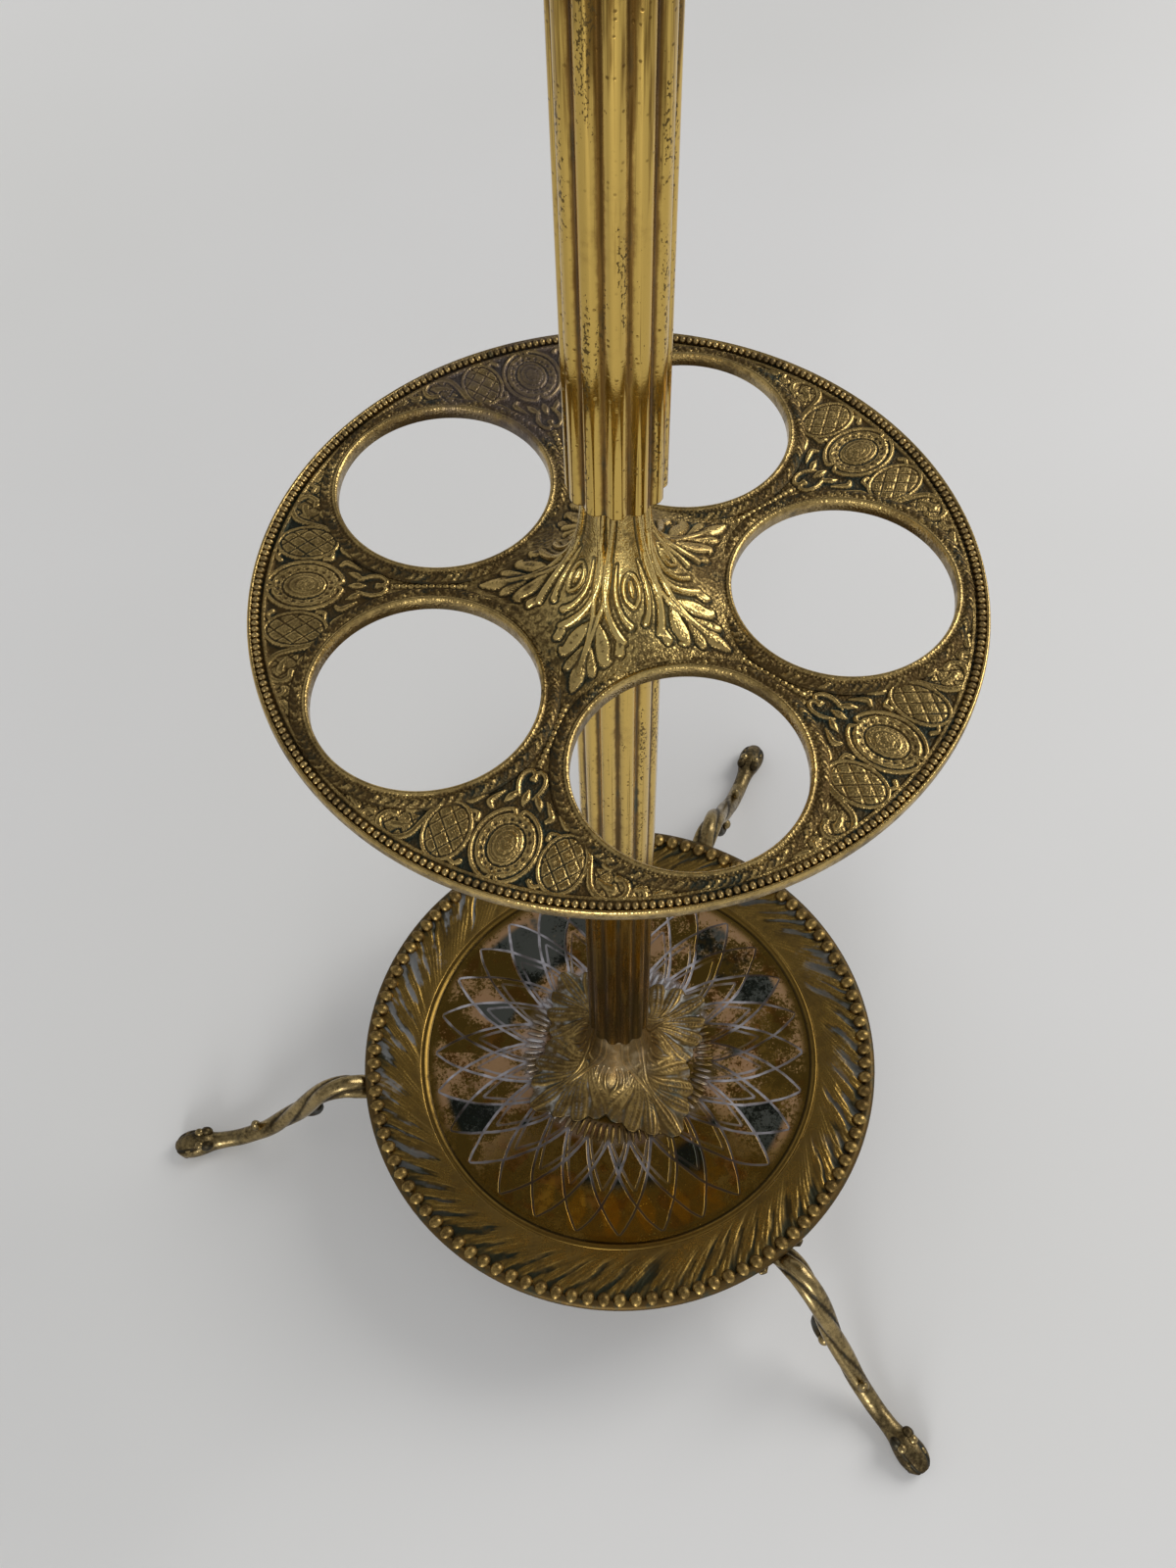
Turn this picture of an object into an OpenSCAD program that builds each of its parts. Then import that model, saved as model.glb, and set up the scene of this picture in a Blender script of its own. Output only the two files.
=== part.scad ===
// Brass umbrella stand: a five-hole cast ring on a reeded column, over a pearl-rimmed drip tray on three legs.
// The column, the castings and the tray are stacked on one tie rod and drawn tight by the finial and a nut.
// All sizes are in millimetres, with Z up from the floor.

/* [Column] */
// Diameter over the reeds of both column tubes
column_d = 32; // [26:0.5:38]
// Number of reeds round a tube
reed_count = 12; // [8:1:18]
// Depth of the valleys between the reeds
reed_depth = 1.6; // [0.6:0.1:2.2]
// Thickness of the tube in a valley
column_wall = 1.2; // [0.8:0.1:2]
// Length of the upper tube, above the ring
upper_tube_length = 213; // [150:1:300]
// Diameter of the tie rod
rod_d = 8; // [6:0.5:10]

/* [Umbrella ring] */
// Diameter over the outer lip
ring_d = 250; // [240:1:300]
// Height of the plate's top face above the floor
ring_height = 476; // [380:1:600]
// Number of umbrella holes
hole_count = 5; // [3:1:5]
// Diameter of each umbrella hole
hole_d = 75.6; // [60:0.2:76]
// Width of plate left between a hole and the outer lip
edge_land = 10.7; // [10:0.1:14]
// Thickness of the plate
plate_t = 3.5; // [2.5:0.1:5]
// Width of the moulding round a hole
hole_rim_w = 5.6; // [4:0.1:5.8]
// Height of the moulding round a hole
hole_rim_h = 2; // [1:0.1:3]
// Height of the cast hub, from the plate up to the tube's end
hub_height = 51; // [40:1:70]
// Height of the scroll relief on the plate
relief_h = 1.1; // [0.6:0.1:2]

/* [Drip tray] */
// Diameter over the pearls of the rim
tray_d = 286; // [250:1:330]
// Height of the middle of the pearls above the floor
tray_height = 70; // [62:0.5:90]
// Diameter of a rim pearl
pearl_d = 6; // [4:0.1:7]
// Number of rim pearls
pearl_count = 104; // [80:1:120]
// Depth of the flat floor below the middle of the pearls
tray_depth = 4.5; // [3:0.1:8]
// Thickness of the tray's sheet
tray_t = 1.5; // [1:0.1:2]
// Diameter of the flat floor inside the stepped ridge
tray_floor_d = 219; // [190:1:230]
// Height of the leaf boss, from the tray's floor up to the column
boss_height = 48.5; // [40:0.5:60]

/* [Legs] */
// Distance of each foot's middle from the column's axis
foot_reach = 254; // [225:1:290]
// Width of a leg below the knee
leg_w = 11.5; // [9:0.1:13]
// Thickness of a leg below the knee
leg_h = 10; // [8:0.1:11]
// Width of a paw foot
foot_w = 17; // [14:0.2:20]
// Thickness of a paw foot
foot_h = 14.4; // [12:0.2:16]
// Direction of the left leg, in degrees
left_leg_angle = -172.5; // [-178:0.5:-165]
// Direction of the front leg, in degrees
front_leg_angle = -52.7; // [-58:0.1:-46]
// Direction of the back leg, in degrees
back_leg_angle = 69; // [62:0.5:74]
// Diameter of the cast hub that holds the legs
leg_hub_d = 80; // [76:1:90]

/* [Hidden] */
$fn = 64;

// Clearances and small standard sizes
rod_gap = 0.2;
slip_gap = 0.1;
seat_gap = 0.3;
washer_t = 1.6;
screw_d = 5;
screw_head_d = 9.5;
screw_head_h = 2.6;

// Column, worked out from the outside in
column_r = column_d / 2;
valley_r = column_r - reed_depth;
bore_r = valley_r - column_wall;
rod_r = rod_d / 2;
rod_hole_r = rod_r + rod_gap;
plug_r = bore_r - slip_gap;
plug_h = 12;
nose_r = bore_r - seat_gap;
nose_h = 6;

// A reed and a valley are arcs of one radius that meet smoothly
reed_step = 180 / reed_count;
bend = 2 * (1 - cos(reed_step));
reed_r = (sqrt(pow((4 - bend) * reed_depth, 2)
    + 4 * bend * (pow(reed_depth, 2) + bend * column_r * valley_r)) - (4 - bend) * reed_depth) / (2 * bend);
reed_centre = column_r - reed_r;
valley_centre = valley_r + reed_r;
meet_r = norm([
    reed_centre + valley_centre * cos(reed_step),
    valley_centre * sin(reed_step)
]) / 2;

// Heights of the stack, from the floor up
tray_floor_z = tray_height - tray_depth;
leg_hub_top = tray_floor_z - tray_t;
leg_hub_h = 17;
leg_hub_z = leg_hub_top - leg_hub_h;
gasket_t = 1;
boss_z = tray_floor_z + gasket_t;
boss_top = tray_floor_z + boss_height;
plate_under = ring_height - plate_t;
hub_top = ring_height + hub_height;
column_top = hub_top + upper_tube_length;
cap_flange_h = 4;
cap_h = 20;
finial_z = column_top + cap_h + washer_t;
nut_h = 6.5;
nut_d = rod_d * 1.875;
nut_top = leg_hub_z - 2 * washer_t;
rod_z = nut_top - nut_h - 1.5;
finial_hole_h = 18;
rod_top = finial_z + finial_hole_h - 1;

// Umbrella ring
ring_r = ring_d / 2;
hole_r = hole_d / 2;
hole_pitch_r = ring_r - edge_land - hole_r;
hole_step = 360 / hole_count;
first_hole = -72.8;
spoke_angle = first_hole + hole_step / 2;
lip_w = 4.2;
skirt_h = 4;
hub_foot_r = hole_pitch_r - hole_r - hole_rim_w - 0.8;

// Drip tray
tray_r = tray_d / 2;
pearl_r = pearl_d / 2;
pearl_ring_r = tray_r - pearl_r;
tray_floor_r = tray_floor_d / 2;
ridge_r = 1.3;

// Legs
leg_angles = [left_leg_angle, front_leg_angle, back_leg_angle];
leg_hub_r = leg_hub_d / 2;
tenon_in = leg_hub_r - 21;
tenon_h = 10;
tenon_w = 12;
tenon_z = leg_hub_top - seat_gap - tenon_h;
screw_at = leg_hub_r - 11;
root_z = tenon_z + tenon_h / 2;
rim_clear = pearl_r + leg_h / 2 + 1.4;
knee_r = pearl_ring_r + rim_clear * 1.65;
knee_z = tray_height - 3.6;
ankle_r = foot_reach - 20;
shin = ankle_r - knee_r;
foot_z = foot_h / 2 - 0.7;
leg_sides = 20;
leg_stations = 44;

// The column stands beside the middle of the footprint, because three feet reach unequally along X and Y
foot_tip = foot_reach + 12;
reach_x = [for (a = leg_angles) foot_tip * cos(a) + sign(cos(a)) * abs(sin(a)) * 3];
reach_y = [for (a = leg_angles) foot_tip * sin(a) + sign(sin(a)) * abs(cos(a)) * 3];
column_x = -(max(max(reach_x), tray_r) + min(min(reach_x), -tray_r)) / 2;
column_y = -(max(max(reach_y), tray_r) + min(min(reach_y), -tray_r)) / 2;

// ---- helpers ----

module on_column(z = 0) {
    translate([column_x, column_y, z])
        children();
}

// Points of an arc in a profile
function arc(cx, cy, r, from, to, steps = 8) = [
    for (i = [0 : steps])
        let (a = from + (to - from) * i / steps)
            [cx + r * cos(a), cy + r * sin(a)]
];

// A value between four neighbours, on a smooth curve through the middle two
function smooth4(a, b, c, d, t) =
    b + 0.5 * t * (c - a + t * (2 * a - 5 * b + 4 * c - d + t * (3 * (b - c) + d - a)));

// A point on a smooth curve through a list of knots
function along(knots, t) =
    let (
        last = len(knots) - 1,
        i = min(floor(t * last), last - 1),
        u = t * last - i
    )
    smooth4(knots[max(i - 1, 0)], knots[i], knots[i + 1], knots[min(i + 2, last)], u);

// Outline of a reeded tube
module reeded_outline() {
    difference() {
        union() {
            circle(r = meet_r);
            for (i = [0 : reed_count - 1])
                rotate(i * 2 * reed_step)
                    translate([reed_centre, 0])
                        circle(r = reed_r, $fn = 48);
        }
        for (i = [0 : reed_count - 1])
            rotate((2 * i + 1) * reed_step)
                translate([valley_centre, 0])
                    circle(r = reed_r, $fn = 48);
    }
}

// A tube with reeds, turned about its axis
module reeded_tube(length, turn) {
    rotate(turn)
        difference() {
            linear_extrude(length)
                reeded_outline();
            translate([0, 0, -1])
                cylinder(r = bore_r, h = length + 2);
        }
}

// A turned plug that centres a tube on the tie rod
module tube_plug() {
    color("#8a7038")
        difference() {
            rotate_extrude()
                polygon([
                    [0, 0], [plug_r - 1, 0], [plug_r, 1],
                    [plug_r, plug_h - 1], [plug_r - 1, plug_h], [0, plug_h]
                ]);
            translate([0, 0, -1])
                cylinder(r = rod_hole_r, h = plug_h + 2);
        }
}

// A flat ring on the tie rod
module washer(outer_r, thickness) {
    difference() {
        cylinder(r = outer_r, h = thickness);
        translate([0, 0, -1])
            cylinder(r = rod_hole_r, h = thickness + 2);
    }
}

// Half outline of a cast trumpet foot: wide at the plate, a narrow nose inside the tube
function trumpet(foot_r, height) = concat(
    [[0, 0], [foot_r, 0]],
    [for (i = [0 : 7])
        let (t = i / 7)
            [nose_r + (foot_r - nose_r) * pow(1 - t, 2.6), 0.8 + (height - 0.8) * pow(t, 1.15)]],
    [[nose_r, height + nose_h - 1], [nose_r - 1, height + nose_h], [0, height + nose_h]]
);

// Leaf ribs that run up a trumpet foot, each a sector of its outline moved outwards
module leaf_ribs(foot_r, height, count, spread, rise) {
    for (i = [0 : count - 1])
        rotate((i - (count - 1) / 2) * spread - spread / 5)
            rotate_extrude(angle = spread * 0.4)
                polygon(concat(
                    [[nose_r - 1, 0.4], [foot_r + rise, 0.4]],
                    [for (p = trumpet(foot_r, height))
                        if (p[1] > 0.5 && p[1] < height - 3)
                            [p[0] + rise, p[1] + rise * 0.6]],
                    [[nose_r - 1, height - 3]]
                ));
}

// ---- tie rod and what it clamps, from the top down ----

module tie_rod() {
    color("#8d8d88")
        on_column(rod_z)
            cylinder(r = rod_r, h = rod_top - rod_z);
}

module finial() {
    ball_r = column_d * 0.36;
    neck_r = rod_r + 2.5;
    ball_z = 9 + ball_r;
    color("#c9a24a")
        on_column(finial_z)
            difference() {
                union() {
                    rotate_extrude()
                        polygon(concat(
                            [[0, 0], [neck_r + 3, 0]],
                            arc(neck_r + 2, 1.8, 1.8, -60, 90, 8),
                            [[neck_r, 5], [neck_r - 0.8, 8], [neck_r, 12], [0, 12]]
                        ));
                    translate([0, 0, ball_z])
                        sphere(r = ball_r);
                    translate([0, 0, ball_z + ball_r])
                        sphere(r = ball_r * 0.24);
                }
                translate([0, 0, -1])
                    cylinder(r = rod_hole_r, h = finial_hole_h + 1);
            }
}

module finial_washer() {
    color("#b08f45")
        on_column(finial_z - washer_t)
            washer(rod_r + 5, washer_t);
}

module top_cap() {
    shoulder_r = rod_r + 6;
    color("#b38a3c")
        on_column(column_top)
            difference() {
                rotate_extrude()
                    polygon(concat(
                        [[0, -4], [plug_r, -4], [plug_r, 0], [column_r + 0.5, 0]],
                        arc(column_r + 0.5, cap_flange_h / 2, cap_flange_h / 2, -80, 80, 8),
                        [for (i = [0 : 8])
                            let (t = i / 8)
                                [shoulder_r + (column_r - shoulder_r) * pow(1 - t, 2),
                                    cap_flange_h + (cap_h - cap_flange_h) * t]],
                        [[0, cap_h]]
                    ));
                translate([0, 0, -5])
                    cylinder(r = rod_hole_r, h = cap_h + 6);
            }
}

// ---- upper tube ----

module upper_tube() {
    color("#b8984a")
        on_column(hub_top)
            reeded_tube(upper_tube_length, -90);
}

module upper_tube_top_plug() {
    on_column(column_top - 4 - plug_h)
        tube_plug();
}

module upper_tube_foot_plug() {
    on_column(hub_top + nose_h)
        tube_plug();
}

// ---- umbrella ring ----

// Plate with a rounded lip, a low skirt and the trumpet hub
module ring_blank() {
    rotate_extrude($fn = 128)
        polygon(concat(
            [[0, -plate_t], [ring_r - 5, -plate_t], [ring_r - 3, -skirt_h], [ring_r - 1.2, -skirt_h]],
            arc(ring_r - 1.2, -skirt_h + 1.2, 1.2, -60, 0, 3),
            arc(ring_r - 1.6, 0.2, 1.6, 0, 90, 6),
            [[ring_r - 2.4, 1.1], [ring_r - lip_w, 0.9], [ring_r - lip_w - 0.6, 0], [0, 0]]
        ));
    rotate_extrude()
        polygon(trumpet(hub_foot_r, hub_height));
}

// Rolled lip and lower outer bead round one hole
module hole_rim() {
    rotate_extrude()
        polygon(concat(
            [[hole_r - 1, -1], [hole_r - 1, hole_rim_h - 1]],
            arc(hole_r + 1.4, hole_rim_h - 1.4, 1.4, 180, 0, 8),
            [[hole_r + 3, hole_rim_h * 0.3]],
            arc(hole_r + hole_rim_w - 1.3, hole_rim_h * 0.3, 0.9, 150, 10, 6),
            [[hole_r + hole_rim_w, -1]]
        ));
}

// Low round boss on the plate
module dome(r, h) {
    rotate_extrude($fn = 48)
        polygon(concat(
            [[0, -1], [r, -1]],
            [for (i = [0 : 4]) [r * cos(i * 22.5), h * sin(i * 22.5)]]
        ));
}

// Raised part of a circle, as a rounded wire with a knob at its inner end
module scroll(r, wire, from, sweep) {
    translate([0, 0, 0.2])
        rotate(from)
            rotate_extrude(angle = sweep)
                translate([r, 0])
                    circle(r = wire, $fn = 16);
    rotate(from + sweep)
        translate([r, 0, 0])
            dome(wire * 1.6, relief_h * 1.4);
}

// Oval cartouche, two side lobes, two scrolls and a neck knob in the corner between two holes and the lip
module spandrel() {
    translate([ring_r * 0.845, 0, 0])
        for (dx = [-3.8, 3.8])
            translate([dx, 0, 0])
                dome(8.8, relief_h * 2);
    for (side = [-1, 1]) {
        rotate(side * 10)
            translate([ring_r * 0.876, 0, 0])
                dome(6.4, relief_h * 1.6);
        rotate(side * 17.1)
            translate([ring_r * 0.914, 0, 0])
                scroll(4, 0.9, side * 60, side * 230);
    }
    translate([ring_r * 0.65, 0, 0])
        dome(3.2, relief_h * 1.5);
}

module umbrella_ring() {
    color("#8a6b2e")
        on_column(ring_height)
            difference() {
                union() {
                    ring_blank();
                    for (i = [0 : hole_count - 1]) {
                        rotate(first_hole + i * hole_step)
                            translate([hole_pitch_r, 0, 0])
                                hole_rim();
                        rotate(spoke_angle + i * hole_step) {
                            spandrel();
                            translate([0, 0, -0.6])
                                leaf_ribs(hub_foot_r, hub_height + 0.6, 3, 15, 1.1);
                        }
                    }
                }
                for (i = [0 : hole_count - 1])
                    rotate(first_hole + i * hole_step)
                        translate([hole_pitch_r, 0, -10])
                            cylinder(r = hole_r, h = 20, $fn = 96);
                translate([0, 0, -plate_t - 1])
                    cylinder(r = rod_hole_r, h = hub_height + plate_t + nose_h + 2);
            }
}

// ---- lower tube ----

module lower_tube() {
    color("#9c7a34")
        on_column(boss_top)
            reeded_tube(plate_under - boss_top, -90 + reed_step);
}

module lower_tube_top_plug() {
    on_column(plate_under - plug_h)
        tube_plug();
}

module lower_tube_foot_plug() {
    on_column(boss_top + nose_h)
        tube_plug();
}

// ---- drip tray ----

module tray_boss() {
    boss_r = tray_r * 0.285;
    cast_h = boss_top - boss_z;
    color("#94713a")
        on_column(boss_z)
            difference() {
                union() {
                    rotate_extrude()
                        polygon(trumpet(boss_r, cast_h));
                    for (i = [0 : 4])
                        rotate(spoke_angle + i * 72)
                            leaf_ribs(boss_r, cast_h, 5, 12, 1.2);
                }
                translate([0, 0, -1])
                    cylinder(r = rod_hole_r, h = cast_h + nose_h + 2);
            }
}

module tray_gasket() {
    color("#3a332c")
        on_column(tray_floor_z)
            washer(rod_r + 8, gasket_t);
}

// Spun sheet: flat floor, stepped ridge, sloping border, rolled edge
module tray_sheet() {
    border_in = tray_floor_r + 3;
    border_out = pearl_ring_r - 1;
    edge_z = tray_height - 1.2;
    rotate_extrude($fn = 128)
        polygon([
            [0, tray_floor_z - tray_t], [tray_floor_r, tray_floor_z - tray_t],
            [border_in, tray_floor_z - tray_t + 1.6], [border_out, edge_z - tray_t],
            [border_out, edge_z + 1], [border_out - 3, edge_z - 0.2],
            [border_in, tray_floor_z + 1.6], [tray_floor_r, tray_floor_z + 1.5],
            [tray_floor_r - 0.8, tray_floor_z], [0, tray_floor_z]
        ]);
    translate([0, 0, tray_floor_z + 1.6])
        rotate_extrude($fn = 128)
            translate([tray_floor_r + 1, 0])
                circle(r = ridge_r, $fn = 24);
    translate([0, 0, tray_height])
        rotate_extrude($fn = 128)
            translate([pearl_ring_r, 0])
                circle(r = pearl_r * 0.72, $fn = 24);
}

module drip_tray() {
    color("#a57c33")
        on_column()
            difference() {
                union() {
                    tray_sheet();
                    for (i = [0 : pearl_count - 1])
                        rotate(i * 360 / pearl_count)
                            translate([pearl_ring_r, 0, tray_height])
                                sphere(r = pearl_r);
                }
                translate([0, 0, leg_hub_top - 1])
                    cylinder(r = rod_hole_r, h = tray_t + 2);
            }
}

// ---- legs ----

// Cast disc under the tray, with a slot for each leg's tenon
module leg_hub() {
    color("#7d6230")
        on_column(leg_hub_z)
            difference() {
                rotate_extrude()
                    polygon(concat(
                        [[0, 0]],
                        arc(leg_hub_r - 6, 6, 6, -90, 0, 8),
                        [[leg_hub_r, leg_hub_h], [0, leg_hub_h]]
                    ));
                translate([0, 0, -1])
                    cylinder(r = rod_hole_r, h = leg_hub_h + 2);
                for (a = leg_angles)
                    rotate(a) {
                        translate([tenon_in - 0.2, -tenon_w / 2 - slip_gap, tenon_z - leg_hub_z])
                            cube([leg_hub_r, tenon_w + 2 * slip_gap, leg_hub_h]);
                        translate([screw_at, 0, -1])
                            cylinder(d = screw_d + 0.4, h = leg_hub_h);
                        translate([screw_at, 0, -1])
                            cylinder(d = screw_head_d + 0.6, h = screw_head_h + 1);
                    }
            }
}

// Knots of a leg: distance out, height, half width, half thickness
leg_knots = [
    [leg_hub_r + 4, root_z, tenon_w / 2, tenon_h / 2],
    [(leg_hub_r + pearl_ring_r) / 2, root_z - 1, leg_w * 0.5, leg_h * 0.48],
    [pearl_ring_r - 8, root_z - 0.6, leg_w * 0.56, leg_h * 0.48],
    [pearl_ring_r + 1, tray_height - rim_clear, leg_w * 0.6, leg_h * 0.48],
    [pearl_ring_r + rim_clear * 0.8, tray_height - rim_clear * 0.62, leg_w * 0.62, leg_h * 0.5],
    [knee_r, knee_z, leg_w * 0.59, leg_h * 0.54],
    [knee_r + shin * 0.15, knee_z - (knee_z - foot_z) * 0.1, leg_w * 0.54, leg_h * 0.54],
    [knee_r + shin * 0.38, knee_z - (knee_z - foot_z) * 0.46, leg_w * 0.5, leg_h * 0.52],
    [knee_r + shin * 0.62, knee_z - (knee_z - foot_z) * 0.78, leg_w * 0.49, leg_h * 0.51],
    [knee_r + shin * 0.84, foot_z + 3.2, leg_w * 0.51, leg_h * 0.52],
    [ankle_r, foot_z + 1.2, leg_w * 0.56, leg_h * 0.58],
    [foot_reach - 8, foot_z + 0.3, foot_w * 0.45, foot_h * 0.48],
    [foot_reach + 2, foot_z, foot_w * 0.5, foot_h * 0.48],
    [foot_reach + 9, foot_z - 1.4, foot_w * 0.42, foot_h * 0.37],
    [foot_reach + 12, foot_z - 2.4, foot_w * 0.26, foot_h * 0.24]
];

// One ring of points round the leg, with three cast ribs that wind along it
function leg_ring(t) =
    let (
        p = along(leg_knots, t),
        ahead = along(leg_knots, min(t + 0.004, 1)),
        behind = along(leg_knots, max(t - 0.004, 0)),
        run = [ahead[0] - behind[0], ahead[1] - behind[1]] / norm([ahead[0] - behind[0], ahead[1] - behind[1]]),
        fade = min(1, max(0, (t - 0.15) * 8)) * min(1, max(0, (0.8 - t) * 8))
    )
    [for (j = [0 : leg_sides - 1])
        let (
            a = j * 360 / leg_sides,
            rib = 1 + 0.07 * fade * cos(3 * (a - 260 * t)),
            side = p[2] * rib * cos(a),
            up = p[3] * rib * sin(a)
        )
        [p[0] - run[1] * up, side, p[1] + run[0] * up]];

module leg_body() {
    rings = [for (i = [0 : leg_stations]) each leg_ring(i / leg_stations)];
    n = leg_sides;
    last = leg_stations * n;
    polyhedron(
        points = rings,
        faces = concat(
            [[for (j = [0 : n - 1]) j]],
            [for (i = [0 : leg_stations - 1]) for (j = [0 : n - 1])
                let (a = i * n + j, b = i * n + (j + 1) % n)
                    each [[a, a + n, b + n], [a, b + n, b]]],
            [[for (j = [n - 1 : -1 : 0]) last + j]]
        ),
        convexity = 6
    );
}

// Curl that hangs under the knee
module knee_curl() {
    curl_r = 5.5;
    x = knee_r + shin * 0.3;
    z = knee_z - (knee_z - foot_z) * 0.56;
    translate([x, 0, z])
        rotate([90, 0, 0]) {
            rotate([0, 0, -80])
                rotate_extrude(angle = 150)
                    translate([curl_r, 0])
                        circle(r = 2.6, $fn = 20);
            rotate([0, 0, -80])
                translate([curl_r, 0, 0])
                    sphere(r = 3.6, $fn = 32);
        }
}

// Claws at the tip of the paw, twin ankle knobs and the small bosses along the leg
module leg_trim() {
    claw_r = foot_w * 0.17;
    for (side = [-1, 0, 1])
        translate([foot_reach + 9.5 - abs(side) * 1.6, side * foot_w * 0.27, claw_r + 0.4])
            sphere(r = claw_r, $fn = 32);
    for (side = [-1, 1]) {
        translate([foot_reach - 9, side * 3.6, foot_z + foot_h * 0.36])
            sphere(r = 3.2, $fn = 32);
        translate([pearl_ring_r + rim_clear * 1.02, side * leg_w * 0.58, tray_height - rim_clear * 0.75])
            sphere(r = 3.2, $fn = 32);
    }
    translate([knee_r + shin * 0.75, 0, foot_z + 7.8])
        sphere(r = 2.6, $fn = 32);
}

module leg(angle) {
    color("#8f7434")
        on_column()
            rotate(angle)
                difference() {
                    union() {
                        leg_body();
                        knee_curl();
                        leg_trim();
                        translate([tenon_in, -tenon_w / 2, tenon_z])
                            cube([leg_hub_r + 5 - tenon_in, tenon_w, tenon_h]);
                    }
                    translate([foot_reach - 40, -foot_w, -10])
                        cube([60, 2 * foot_w, 10]);
                    translate([screw_at, 0, tenon_z - 1])
                        cylinder(d = screw_d - 0.2, h = tenon_h - 1);
                }
}

module left_leg() {
    leg(left_leg_angle);
}

module front_leg() {
    leg(front_leg_angle);
}

module back_leg() {
    leg(back_leg_angle);
}

// Cheese-head screws that hold the tenons from below
module leg_screws() {
    shank = tenon_z - leg_hub_z + tenon_h - 3;
    color("#8d8d88")
        on_column(leg_hub_z)
            for (a = leg_angles)
                rotate(a)
                    translate([screw_at, 0, 0])
                        difference() {
                            union() {
                                translate([0, 0, 0.4])
                                    cylinder(d = screw_d - 0.3, h = shank);
                                translate([0, 0, 0.4])
                                    cylinder(d = screw_head_d, h = screw_head_h - 0.4);
                            }
                            translate([-screw_head_d, -0.6, -1])
                                cube([2 * screw_head_d, 1.2, 2.4]);
                        }
}

// ---- nut stack under the legs ----

module hub_washer() {
    color("#8d8d88")
        on_column(leg_hub_z - washer_t)
            washer(rod_r + 8, washer_t);
}

module lock_washer() {
    color("#8d8d88")
        on_column(leg_hub_z - 2 * washer_t)
            difference() {
                washer(rod_r + 3.4, washer_t);
                translate([0, -0.8, -1])
                    cube([rod_r + 5, 1.6, washer_t + 2]);
            }
}

module bottom_nut() {
    color("#8d8d88")
        on_column(nut_top - nut_h)
            difference() {
                cylinder(d = nut_d, h = nut_h, $fn = 6);
                translate([0, 0, -1])
                    cylinder(r = rod_hole_r, h = nut_h + 2);
            }
}

tie_rod();
finial();
finial_washer();
top_cap();
upper_tube();
upper_tube_top_plug();
upper_tube_foot_plug();
umbrella_ring();
lower_tube();
lower_tube_top_plug();
lower_tube_foot_plug();
tray_boss();
tray_gasket();
drip_tray();
leg_hub();
left_leg();
front_leg();
back_leg();
leg_screws();
hub_washer();
lock_washer();
bottom_nut();
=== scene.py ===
import bpy
import math
import numpy as np
from mathutils import Matrix, Vector


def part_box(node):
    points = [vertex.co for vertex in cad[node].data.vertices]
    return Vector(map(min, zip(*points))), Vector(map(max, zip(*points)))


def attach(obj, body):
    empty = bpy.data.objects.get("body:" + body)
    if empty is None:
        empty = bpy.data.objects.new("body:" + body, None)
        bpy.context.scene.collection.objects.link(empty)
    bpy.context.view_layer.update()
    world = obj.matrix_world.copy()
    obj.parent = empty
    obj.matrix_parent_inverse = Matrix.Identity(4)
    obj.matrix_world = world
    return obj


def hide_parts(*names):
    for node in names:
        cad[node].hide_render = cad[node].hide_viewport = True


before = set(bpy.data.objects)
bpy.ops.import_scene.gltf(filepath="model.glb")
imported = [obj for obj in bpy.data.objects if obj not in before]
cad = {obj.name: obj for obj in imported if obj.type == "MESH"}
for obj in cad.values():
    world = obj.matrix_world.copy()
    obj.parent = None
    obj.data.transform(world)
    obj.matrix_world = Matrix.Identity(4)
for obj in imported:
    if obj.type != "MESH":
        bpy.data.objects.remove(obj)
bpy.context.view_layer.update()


# ---- The legs ----
# Three cast brass legs with a knee, a slender shin and a paw foot. Each was cast in sand,
# filed smooth on the ridges and left dark in the hollows, and stands on the tip of its paw.

rod_lo, rod_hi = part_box("tie_rod")
AXIS = ((rod_lo.x + rod_hi.x) / 2, (rod_lo.y + rod_hi.y) / 2)


def put(tree, kind, sockets=None, **settings):
    """Adds a node to a tree. sockets gives its inputs a value or another node's output."""
    node = tree.nodes.new(kind)
    for name, value in settings.items():
        setattr(node, name, value)
    for key, value in (sockets or {}).items():
        if isinstance(value, bpy.types.NodeSocket):
            tree.links.new(value, node.inputs[key])
        else:
            node.inputs[key].default_value = value
    return node


def maths(tree, operation, *values):
    return put(tree, "ShaderNodeMath", dict(enumerate(values)), operation=operation).outputs[0]


def times(tree, first, second):
    return maths(tree, "MULTIPLY", first, second)


def scaled(tree, value, by, plus):
    """value times by, plus plus."""
    return maths(tree, "MULTIPLY_ADD", value, by, plus)


def most(tree, first, second):
    return maths(tree, "MAXIMUM", first, second)


def rest(tree, share):
    """What a share leaves of 1."""
    return maths(tree, "SUBTRACT", 1.0, share)


def blend_colour(tree, factor, first, second):
    """From the first colour to the second as factor goes from 0 to 1. Each is a socket or three numbers."""
    first, second = ((*c, 1) if isinstance(c, tuple) else c for c in (first, second))
    return put(tree, "ShaderNodeMix", {0: factor, 6: first, 7: second}, data_type="RGBA").outputs[2]


def soft_step(tree, value, low, high):
    """0 below low, 1 above high, and a smooth climb between."""
    return put(tree, "ShaderNodeMapRange", {0: value, 1: low, 2: high},
               interpolation_type="SMOOTHSTEP").outputs[0]


def new_tree(name, kind, inputs, outputs):
    """An empty node tree with what it is given and its results. Both list their names by kind of socket."""
    tree = bpy.data.node_groups.new(name, kind + "NodeTree")
    for way, sockets in (("INPUT", inputs), ("OUTPUT", outputs)):
        for socket, titles in sockets.items():
            for title in titles:
                tree.interface.new_socket(title, in_out=way, socket_type="NodeSocket" + socket)
    return tree, tree.nodes.new("NodeGroupInput").outputs, tree.nodes.new("NodeGroupOutput").inputs


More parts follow.
